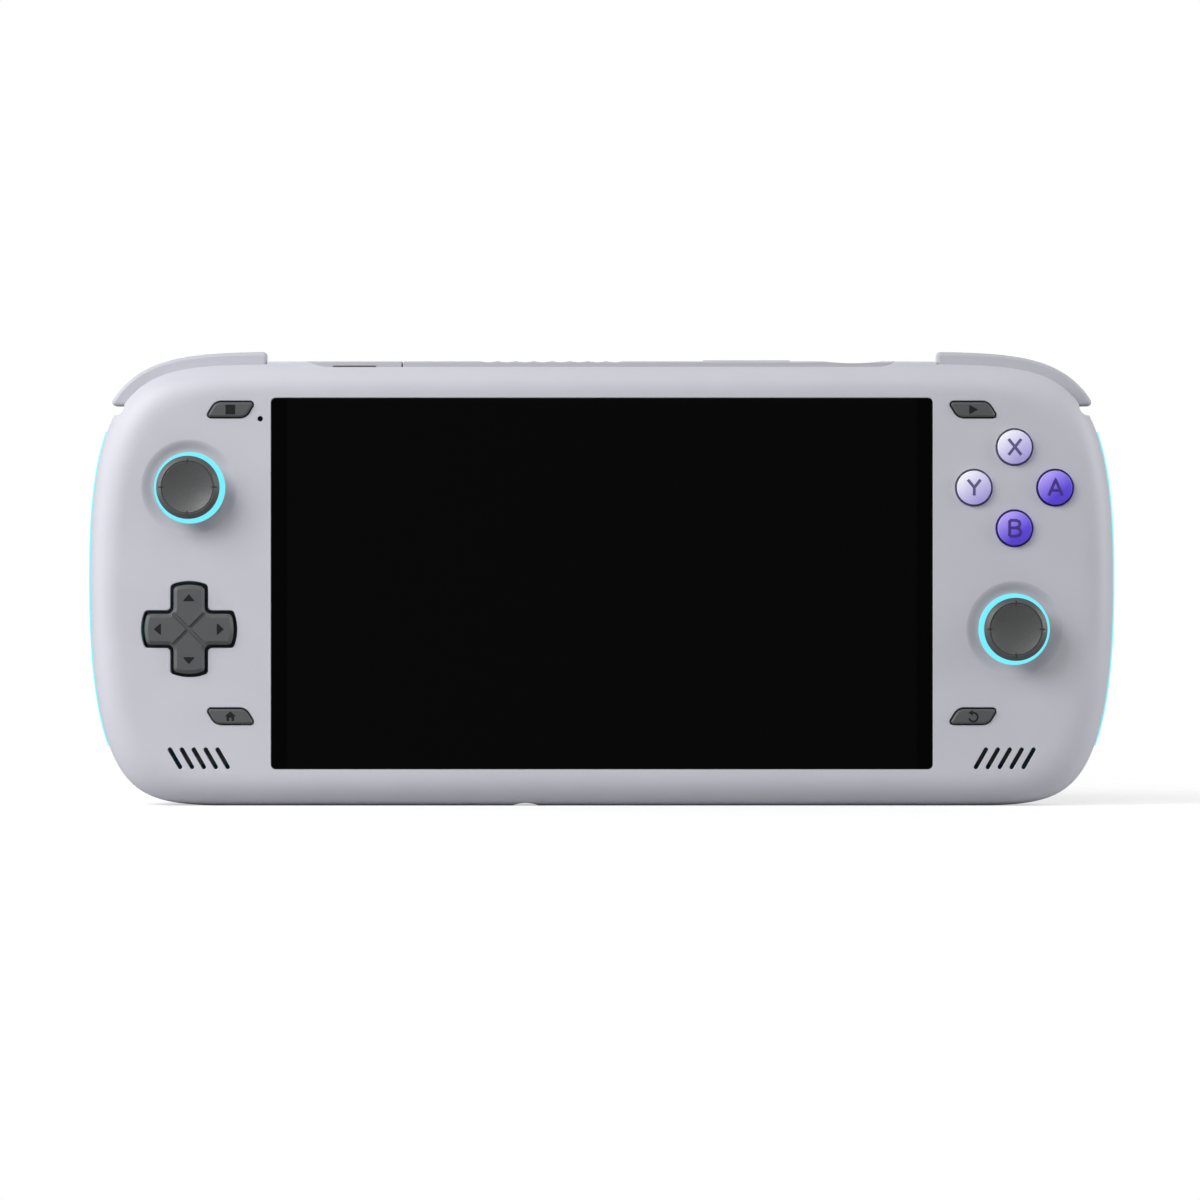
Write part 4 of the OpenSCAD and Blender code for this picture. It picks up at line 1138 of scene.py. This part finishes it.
class CONSOLE_OT_top_bar(bpy.types.Operator):
    """Moulds the top bar with its vents and the rooms of its keys and door"""

    bl_idname = "console.top_bar"
    bl_label = "Top Bar"

    def execute(self, context):
        bar = new_object("top_bar_moulding", bar_along_x(bar_profile(), BAR_LOW[0], BAR_HIGH[0]))
        carve(bar, upright(bar_plan(BAR_LOW[0] - 9, BAR_TRIM), BAR_BELOW, BAR_ABOVE), "INTERSECT")
        door_room = box_points(BAR_LOW[0] - 1, DOOR_HIGH[0] + DOOR_GAP, BAR_BELOW, BAR_ABOVE)
        rooms = prism(door_room, DOOR_ROOM, BAR_HIGH[2] + 1)
        for x, width in ((ROCKER[0], ROCKER_W + ROCKER_PLAY), (POWER[0], POWER_W + POWER_PLAY)):
            room = rounded_box(width / 2, KEY_ROOM_HALF, KEY_ROOM_CORNER, (x, 0))
            upright(room, BAR_BELOW, BAR_ABOVE, rooms)
        vents = [VENT_X - VENT_W / 2 + VENT_W / VENTS * (i + 0.5) for i in range(VENTS)]
        for x in vents:
            upright(rounded_box(*VENT_HALF, VENT_CORNER, (x, 0)), BAR_BELOW, BAR_ABOVE, rooms)
        carve(bar, rooms)
        scoops = bmesh.new()
        for x in vents:
            prism(circle((x, HALF_H + VENT_SCOOP_UP), VENT_SCOOP_R, 128), *THROUGH, scoops)
        prism(circle((POWER[0], POWER_TOP - SCOOP_DEPTH + SCOOP_R), SCOOP_R, 512), *THROUGH, scoops)
        carve(bar, scoops, overlap=True)
        soften(bar, BAR_SOFT)
        finish_piece(bar, CASE, "bar", "top_bar")
        return {"FINISHED"}


class CONSOLE_OT_bar_keys(bpy.types.Operator):
    """Makes the volume rocker, the power button and the card door of the top bar"""

    bl_idname = "console.bar_keys"
    bl_label = "Top Bar Keys"

    def execute(self, context):
        rocker = self.key("volume_rocker_key", ROCKER[0], ROCKER_W, HALF_H + ROCKER_PROUD)
        carve(rocker, self.marks(), overlap=True)
        finish_piece(rocker, "volume_rocker", "bar", "volume_rocker")
        power = self.key("power_key", POWER[0], POWER_W, HALF_H)
        carve(power, prism(circle((POWER[0], HALF_H - SCOOP_DEPTH + SCOOP_R), SCOOP_R, 512), *THROUGH))
        finish_piece(power, "power_button", "bar", "power_button")
        self.door()
        return {"FINISHED"}

    def key(self, name, x, width, top):
        """Upright key with round corners."""
        stem = rounded_box(width / 2, KEY_HALF, KEY_CORNER, (x, 0))
        rings = key_rings(stem, BAR_BASE - KEY_ROOT, top, KEY_EDGE, 5)
        return new_object(name, loft_form([[(px, y, pz) for px, pz, y in ring] for ring in rings]))

    def marks(self):
        """Shallow minus and plus for the two ends of the rocker."""
        form = bmesh.new()
        for sign in SIDES.values():
            x = ROCKER[0] + sign * MARK_X
            bar = box_points(x - MARK_HALF, x + MARK_HALF, MARK_FLOOR, HALF_H + 1)
            prism(bar, -MARK_THIN, MARK_THIN, form)
            if sign > 0:
                bar = box_points(x - MARK_THIN, x + MARK_THIN, MARK_FLOOR, HALF_H + 1)
                prism(bar, -MARK_HALF, MARK_HALF, form)
        return form

    def door(self):
        """Card door with its hinge barrel and nail slit; it is the rounded left end of the bar."""
        front, inside = BAR_HIGH[2], HALF_H - DOOR_THICK
        profile = [(inside, front)] + bar_profile()[2:15] + [(HALF_H, BARREL_TOP_Z)]
        profile += arc((PIN_Y, PIN_Z), BARREL_R, 30, -150, 13)
        profile += [(inside, BARREL_ROOT_Z)]
        door = new_object("card_door_leaf", bar_along_x(profile, BAR_LOW[0], DOOR_HIGH[0]))
        carve(door, upright(bar_plan(BAR_LOW[0], BAR_TRIM), BAR_BELOW, BAR_ABOVE), "INTERSECT")
        soften(door, DOOR_SOFT)
        x = (BAR_LOW[0] + DOOR_HIGH[0]) / 2
        slit = box_points(x - SLIT_HALF, x + SLIT_HALF, HALF_H - SLIT_LOW, HALF_H - SLIT_HIGH)
        carve(door, prism(slit, front - SLIT_DEPTH, front + 1))
        pin = arc((PIN_Y, PIN_Z), PIN_HOLE_R, 0, 345, 24)
        carve(door, bar_along_x(pin, DOOR_LOW[0] - 5, DOOR_HIGH[0] + 5))
        finish_piece(door, "card_door", "bar", "card_door")


class CONSOLE_OT_screen(bpy.types.Operator):
    """Lays the cover glass into the front shell"""

    bl_idname = "console.screen"
    bl_label = "Screen"

    def execute(self, context):
        low, high = flat("screen_glass")
        outline = rounded_box(high[0], high[1], GLASS_CORNER)
        glass = new_object("cover_glass", loft_form(key_rings(outline, low[2], high[2], GLASS_EDGE, 4)))
        finish_piece(glass, CASE, "glass", "screen_glass")
        return {"FINISHED"}


class CONSOLE_OT_lights(bpy.types.Operator):
    """Makes the light rings around the sticks and the light strips on the sides"""

    bl_idname = "console.lights"
    bl_label = "Light Guides"

    def execute(self, context):
        for side in SIDES:
            self.ring(side)
            strip = new_object(side + "_strip_guide", loft_form(strip_sections(side, 0.0, STRIP_ROUND)))
            finish_piece(strip, CASE, "light", side + "_light_strip")
        return {"FINISHED"}

    def ring(self, side):
        """Light ring with its hidden flange."""
        node = side + "_light_ring"
        low, high = flat(node)
        outer, flange, step = size("ring_r"), (high[0] - low[0]) / 2, low[2] + RING_FLANGE
        shoulder = high[2] - RING_ROUND
        profile = [(RING_HOLE, low[2]), (flange, low[2]), (flange, step), (outer, step)]
        profile += arc((outer - RING_ROUND, shoulder), RING_ROUND, 0, 90, 4)
        profile += arc((RING_HOLE + RING_ROUND, shoulder), RING_ROUND, 90, 180, 4)
        guide = new_object(side + "_ring_guide", turned_form(profile + profile[:1], middle(node), 128))
        finish_piece(guide, CASE, "light", node)


class CONSOLE_OT_sticks(bpy.types.Operator):
    """Makes the rubber caps of the two thumb sticks"""

    bl_idname = "console.sticks"
    bl_label = "Thumb Sticks"

    def execute(self, context):
        for side in SIDES:
            node = side + "_stick_cap"
            low, high = flat(node)
            radius = (high[0] - low[0]) / 2
            centre = middle(node)
            profile = self.profile(low[2], high[2], radius)
            cap = new_object(side + "_stick_grip", turned_form(profile, centre, 128))
            ticks = bmesh.new()
            tick = [(radius - TICK_INSET + out, wide) for out, wide in TICK]
            for quarter in range(4):
                prism(turned(tick, centre, 90 * quarter), high[2] - TICK_DEPTH, high[2] + 1, ticks)
            carve(cap, ticks)
            finish_piece(cap, side + "_stick", "stick", node, smooth=28)
        return {"FINISHED"}

    def profile(self, low, high, radius):
        """Turned section of a cap: rounded band, thin groove and a hollow top."""
        top = high - STICK_SINK
        profile = [(0, low), (radius - STICK_FOOT, low)]
        profile += arc((radius - STICK_FOOT, low + STICK_FOOT), STICK_FOOT, -90, 0, 6)
        profile += [(radius, top - BAND_DROP)]
        profile += arc((radius - STICK_EDGE, top - EDGE_DROP), STICK_EDGE, 0, 40, 4)
        profile += [(radius - inset, top - drop) for inset, drop in STICK_GROOVE]
        for i in range(15):
            part = 1 - i / 14
            profile.append(((radius - HOLLOW_INSET) * part, top - HOLLOW_LOW + HOLLOW_RISE * part**2.0))
        return profile


def add_stroke(form, path, width, surface, lift):
    """Adds an inlaid stroke along a plane path; surface gives the level under each point."""
    samples = []
    for start, stop in zip(path, path[1:]):
        steps = max(1, round(math.dist(start, stop) / STROKE_STEP))
        for k in range(steps):
            samples.append(tuple(a + (b - a) * k / steps for a, b in zip(start, stop)))
    samples.append(path[-1])
    above = [(share, lift) for share in (-1, -0.5, 0, 0.5, 1)]
    below = [(share, -STROKE_ROOT) for share in (1, -1)]
    sections = []
    for i, point in enumerate(samples):
        before, after = samples[max(0, i - 1)], samples[min(len(samples) - 1, i + 1)]
        ahead = (Vector(after) - Vector(before)).normalized()
        corner = 1.0
        if 0 < i < len(samples) - 1:
            first = (Vector(point) - Vector(before)).normalized()
            corner = 1 / max(0.6, abs(first.dot(ahead)))
        side = Vector((-ahead.y, ahead.x)) * width / 2 * corner
        section = []
        for share, height in above + below:
            x, y = point[0] + side.x * share, point[1] + side.y * share
            section.append((x, y, surface(x, y) + height))
        sections.append(section)
    loft_form(sections, form)


class CONSOLE_OT_face_buttons(bpy.types.Operator):
    """Makes the four domed face buttons with their letters"""

    bl_idname = "console.face_buttons"
    bl_label = "Face Buttons"

    def execute(self, context):
        for node in FACE_KEYS:
            low, high = flat(node)
            x, y, _ = middle(node)

            def surface(px, py):
                away = (px - x) ** 2 + (py - y) ** 2
                return high[2] - DOME_R + math.sqrt(DOME_R * DOME_R - away)

            radius, flange, step = size("face_r"), (high[0] - low[0]) / 2, low[2] + BUTTON_FLANGE
            crown = radius - BUTTON_EDGE
            profile = [(0, low[2]), (flange, low[2]), (flange, step), (radius, step)]
            profile += arc((crown, surface(x + crown, y) - BUTTON_EDGE), BUTTON_EDGE, 0, 75, 6)
            for i in range(12):
                away = crown * (1 - i / 11)
                profile.append((away, surface(x + away, y)))
            cap = new_object(node + "_cap", turned_form(profile, (x, y)))
            finish_piece(cap, node, node, node)
            deep = node in DEEP_KEYS
            strokes = bmesh.new()
            for k, stroke in enumerate(LETTERS[node]):
                path = [(x + px * LETTER_SCALE, y + py * LETTER_SCALE) for px, py in stroke]
                add_stroke(strokes, path, size("letter"), surface, STROKE_LIFT + NEXT_LIFT * k)
            letter = new_object(node + "_letter", strokes)
            finish_piece(letter, node, "violet_legend" if deep else "lavender_legend")
        return {"FINISHED"}


class CONSOLE_OT_menu_keys(bpy.types.Operator):
    """Makes the four leaning menu keys with their signs"""

    bl_idname = "console.menu_keys"
    bl_label = "Menu Keys"

    def execute(self, context):
        for node in MENU_KEYS:
            bottom, top = flat(node)[0][2], flat(node)[1][2]
            rings = bevelled_rings(menu_outline(node, 0), bottom, top, MENU_BEVEL)
            key = new_object(node + "_key", loft_form(rings))
            finish_piece(key, node, "dark_key", node)
            x, y, _ = middle(node)
            outline = [(x + SIGN_SCALE * px, y + SIGN_SCALE * py) for px, py in SIGNS[node]]
            form = prism(outline, top - STROKE_ROOT, top + SIGN_LIFT)
            if node == "back_button":
                turn = arc((x, y - RETURN_DROP), RETURN_R, 95, -165, 24)
                add_stroke(form, turn, RETURN_STROKE, lambda px, py: top, STROKE_LIFT)
            sign = new_object(node + "_sign", form)
            finish_piece(sign, node, "legend")
        return {"FINISHED"}


class CONSOLE_OT_direction_pad(bpy.types.Operator):
    """Makes the direction pad with its four raised arms and arrows"""

    bl_idname = "console.direction_pad"
    bl_label = "Direction Pad"

    def execute(self, context):
        centre = middle("dpad")
        bottom, top = flat("dpad")[0][2], flat("dpad")[1][2]
        half_arm, reach = size("pad_arm") / 2 - PAD_ARM_GAP, size("pad_span") / 2 - PAD_END_GAP
        outline = cross_outline(centre, half_arm, reach, PAD_CORNER, PAD_FILLET)
        pad = new_object("direction_pad", loft_form(bevelled_rings(outline, bottom, top, PAD_BEVEL)))
        for degrees in (45, 135):
            rings = []
            for out in (-GROOVE_REACH, GROOVE_REACH):
                section = turned([(out, wide) for wide, _ in GROOVE_SECTION], centre, degrees)
                rings.append([(x, y, top + z) for (x, y), (_, z) in zip(section, GROOVE_SECTION)])
            carve(pad, loft_form(rings))
        pockets, marks = bmesh.new(), bmesh.new()
        for quarter in range(4):
            arrow = turned(rounded_path(ARROW, 4), centre, 90 * quarter)
            prism(arrow, top - ARROW_DEPTH, top + 1, pockets)
            prism(grown(arrow, -ARROW_GAP), top - ARROW_ROOT, top - ARROW_SINK, marks)
        carve(pad, pockets)
        finish_piece(pad, "dpad", "dark_key", "dpad", smooth=30)
        marks = new_object("direction_pad_arrows", marks)
        finish_piece(marks, "dpad", "legend")
        return {"FINISHED"}


def bow(half_w, half_h, power, start):
    """Points of a superellipse from the height of a start point up to its width."""
    low = math.asin((start[1] / half_h) ** (BOW_HIGH / 2))
    high = math.acos((start[0] / half_w) ** (power / 2))
    points = []
    for i in range(BOW_STEPS):
        t = low + (high - low) * i / (BOW_STEPS - 1)
        points.append((half_w * math.cos(t) ** (2 / power), half_h * math.sin(t) ** (2 / BOW_HIGH)))
    return points


def shoulder_outline(half_w, half_h, start, corner, sign):
    """Outline of a shoulder key between the outer curve and the wall of its bay, its corners rounded."""
    outer = bow(half_w, half_h, BOW_OUTER, start)
    inner = bow(HALF_W - BOW_WALL, HALF_H - BOW_WALL, BOW_INNER, start)
    inner.reverse()
    path = []
    for curve in (outer, inner):
        ends = (curve[0], curve[-1])
        path.append((*ends[0], corner))
        for point in curve[1:-1]:
            if min(math.dist(point, end) for end in ends) > 3 * corner:
                path.append((*point, 0))
        path.append((*ends[1], corner))
    points = rounded_path(path, 7)
    return points if sign > 0 else [(-x, y) for x, y in reversed(points)]


class CONSOLE_OT_shoulders(bpy.types.Operator):
    """Makes the bumpers and the triggers of both shoulders"""

    bl_idname = "console.shoulders"
    bl_label = "Shoulder Keys"

    def execute(self, context):
        for side, sign in SIDES.items():
            self.bumper(side + "_bumper", sign)
            self.trigger(side + "_trigger", sign)
        return {"FINISHED"}

    def bumper(self, node, sign):
        """Bumper with its hinge eye."""
        low, high = flat(node)
        hinge = (sign * BUMPER_HINGE[0], BUMPER_HINGE[1])
        outline = shoulder_outline(HALF_W + BUMPER_PROUD, high[1], BUMPER_START, BUMPER_CORNER, sign)
        rings = key_rings(outline, low[2], high[2], BUMPER_EDGE, 6, BUMPER_FOOT)
        key = new_object(node + "_key", loft_form(rings))
        carve(key, prism(circle(hinge, BUMPER_EYE_R, 64), low[2] + EYE_ABOVE, high[2] - EYE_BELOW), "UNION")
        carve(key, prism(circle(hinge, BUMPER_BORE_R, 48), THROUGH[0], 5))
        finish_piece(key, node, "trim", node, smooth=40)

    def trigger(self, node, sign):
        """Trigger with a hooked back and its hinge eye."""
        face = flat(node)[1][2]
        rings = []
        for inset, depth in self.sections(face - TRIGGER_DEPTH, face):
            bow_rise = math.sqrt(TRIGGER_BOW_R**2 - (depth - face - TRIGGER_BOW_AHEAD) ** 2)
            top = min(TRIGGER_TOP, TRIGGER_BOW_Y + bow_rise)
            outline = shoulder_outline(HALF_W + TRIGGER_PROUND, top, TRIGGER_START, TRIGGER_CORNER, sign)
            rings.append(level(grown(outline, -inset), depth))
        key = new_object(node + "_key", loft_form(rings))
        lean = math.radians(TRIGGER_SLANT)
        along = Vector((-WEDGE * math.cos(lean), -WEDGE * math.sin(lean)))
        edge, ahead = Vector((TRIGGER_AXIS[0] - 1, face)), Vector((0, WEDGE))
        wedge = [edge, edge + along, edge + along + ahead, edge + ahead]
        carve(key, bar_along_x(wedge, *span(sign, BAY_X - 10, HALF_W + 10)))
        soften(key, TRIGGER_SOFT)
        eye = arc(TRIGGER_AXIS, TRIGGER_EYE_R, 0, 354, 60)
        carve(key, bar_along_x(eye, *span(sign, *TRIGGER_EYE_SPAN)), "UNION")
        bore = arc(TRIGGER_AXIS, TRIGGER_BORE_R, 0, 350, 36)
        carve(key, bar_along_x(bore, *span(sign, *TRIGGER_BORE_SPAN)))
        finish_piece(key, node, "trim", node, smooth=40)

    def sections(self, back, face):
        """Pairs of inset and level through a trigger, with both ends rounded."""
        low, high, steps = TRIGGER_BACK_EDGE, TRIGGER_FACE_EDGE, TRIGGER_STEPS
        turns = quarter_turn(6)
        pairs = [(low * (1 - math.sin(a)), back + low * (1 - math.cos(a))) for a in turns]
        pairs += [(0.0, back + low + (face - back - low - high) * i / steps) for i in range(1, steps)]
        return pairs + [(high * (1 - math.cos(a)), face - high + high * math.sin(a)) for a in turns]


class CONSOLE_OT_inner_parts(bpy.types.Operator):
    """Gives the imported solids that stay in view, such as pins, screws and boards, their finishes"""

    bl_idname = "console.inner_parts"
    bl_label = "Inner Parts"

    def execute(self, context):
        for entry in frame["record"]["subparts"]:
            solid = frame["nodes"][entry["node"]]
            material = finishes()[SLOT_FINISH.get(entry["material_slot"], entry["material_slot"])]
            for slot in solid.material_slots:
                slot.material = material
        return {"FINISHED"}


class CONSOLE_OT_studio(bpy.types.Operator):
    """Sets up the pale floor, the studio light and the camera"""

    bl_idname = "console.studio"
    bl_label = "Studio"

    def execute(self, context):
        self.floor()
        self.world(context)
        for lamp in LAMPS:
            self.lamp(*lamp)
        camera = placed("camera", bpy.data.cameras.new("camera"))
        camera.data.lens = LENS
        camera.data.sensor_width = SENSOR
        camera.data.clip_start = CLIP_START
        camera.location = CAMERA_PLACE
        camera.rotation_euler = (math.pi / 2, 0, 0)
        context.scene.camera = camera
        context.scene.view_settings.view_transform = "Standard"
        return {"FINISHED"}

    def floor(self):
        """Round pale floor that fades out with distance."""
        form = bmesh.new()
        form.faces.new([form.verts.new(point) for point in circle((0, 0), FLOOR_R)])
        floor = placed("floor", mesh_of("floor", form))
        floor.location = (0, 0, cad_low[2])
        floor.data.materials.append(studio_paper("studio_paper"))

    def world(self, context):
        """White room for the eye, a softer one for gloss and plain soft light for everything else."""
        world = bpy.data.worlds.new("studio")
        world.use_nodes = True
        context.scene.world = world
        shader = WorldShader(world)
        strength = 0.2 + 0.8 * shader.ray("Is Camera Ray") + 0.25 * shader.ray("Is Glossy Ray")
        shader.set(Color=(1.0, 1.0, 1.0), Strength=strength)

    def lamp(self, name, place, width, power):
        """Square soft light aimed at the console."""
        light = bpy.data.lights.new(name, "AREA")
        light.size = width
        light.energy = power
        lamp = placed(name, light)
        lamp.location = place
        aim = Vector((0, 0, ORIGIN_Z)) - Vector(place)
        lamp.rotation_euler = aim.to_track_quat("-Z", "Y").to_euler()


OPERATORS = (
    CONSOLE_OT_inner_parts,
    CONSOLE_OT_front_shell,
    CONSOLE_OT_rear_shell,
    CONSOLE_OT_top_bar,
    CONSOLE_OT_bar_keys,
    CONSOLE_OT_screen,
    CONSOLE_OT_lights,
    CONSOLE_OT_sticks,
    CONSOLE_OT_direction_pad,
    CONSOLE_OT_face_buttons,
    CONSOLE_OT_menu_keys,
    CONSOLE_OT_shoulders,
    CONSOLE_OT_studio,
)


class CONSOLE_PT_panel(bpy.types.Panel):
    """Sidebar panel with the sizes, colours and steps"""

    bl_idname = "CONSOLE_PT_panel"
    bl_label = "Handheld Console"
    bl_space_type = "VIEW_3D"
    bl_region_type = "UI"
    bl_category = "Console"

    def draw(self, context):
        for group in (context.scene.console_sizes, context.scene.console_colours):
            column = self.layout.column(align=True)
            for key in group.bl_rna.properties.keys():
                if key not in ("rna_type", "name"):
                    column.prop(group, key)
        column = self.layout.column(align=True)
        for operator in OPERATORS:
            column.operator(operator.bl_idname)


CLASSES = (ConsoleSizes, ConsoleColours, *OPERATORS, CONSOLE_PT_panel)


def register():
    """Registers the classes and their properties."""
    for cls in CLASSES:
        bpy.utils.register_class(cls)
    bpy.types.Scene.console_sizes = bpy.props.PointerProperty(type=ConsoleSizes)
    bpy.types.Scene.console_colours = bpy.props.PointerProperty(type=ConsoleColours)


def unregister():
    """Removes the properties and the classes."""
    del bpy.types.Scene.console_colours
    del bpy.types.Scene.console_sizes
    for cls in reversed(CLASSES):
        bpy.utils.unregister_class(cls)


def main():
    """Builds every piece in order."""
    register()
    for operator in OPERATORS:
        group, name = operator.bl_idname.split(".")
        getattr(getattr(bpy.ops, group), name)()


if __name__ == "__main__":
    main()
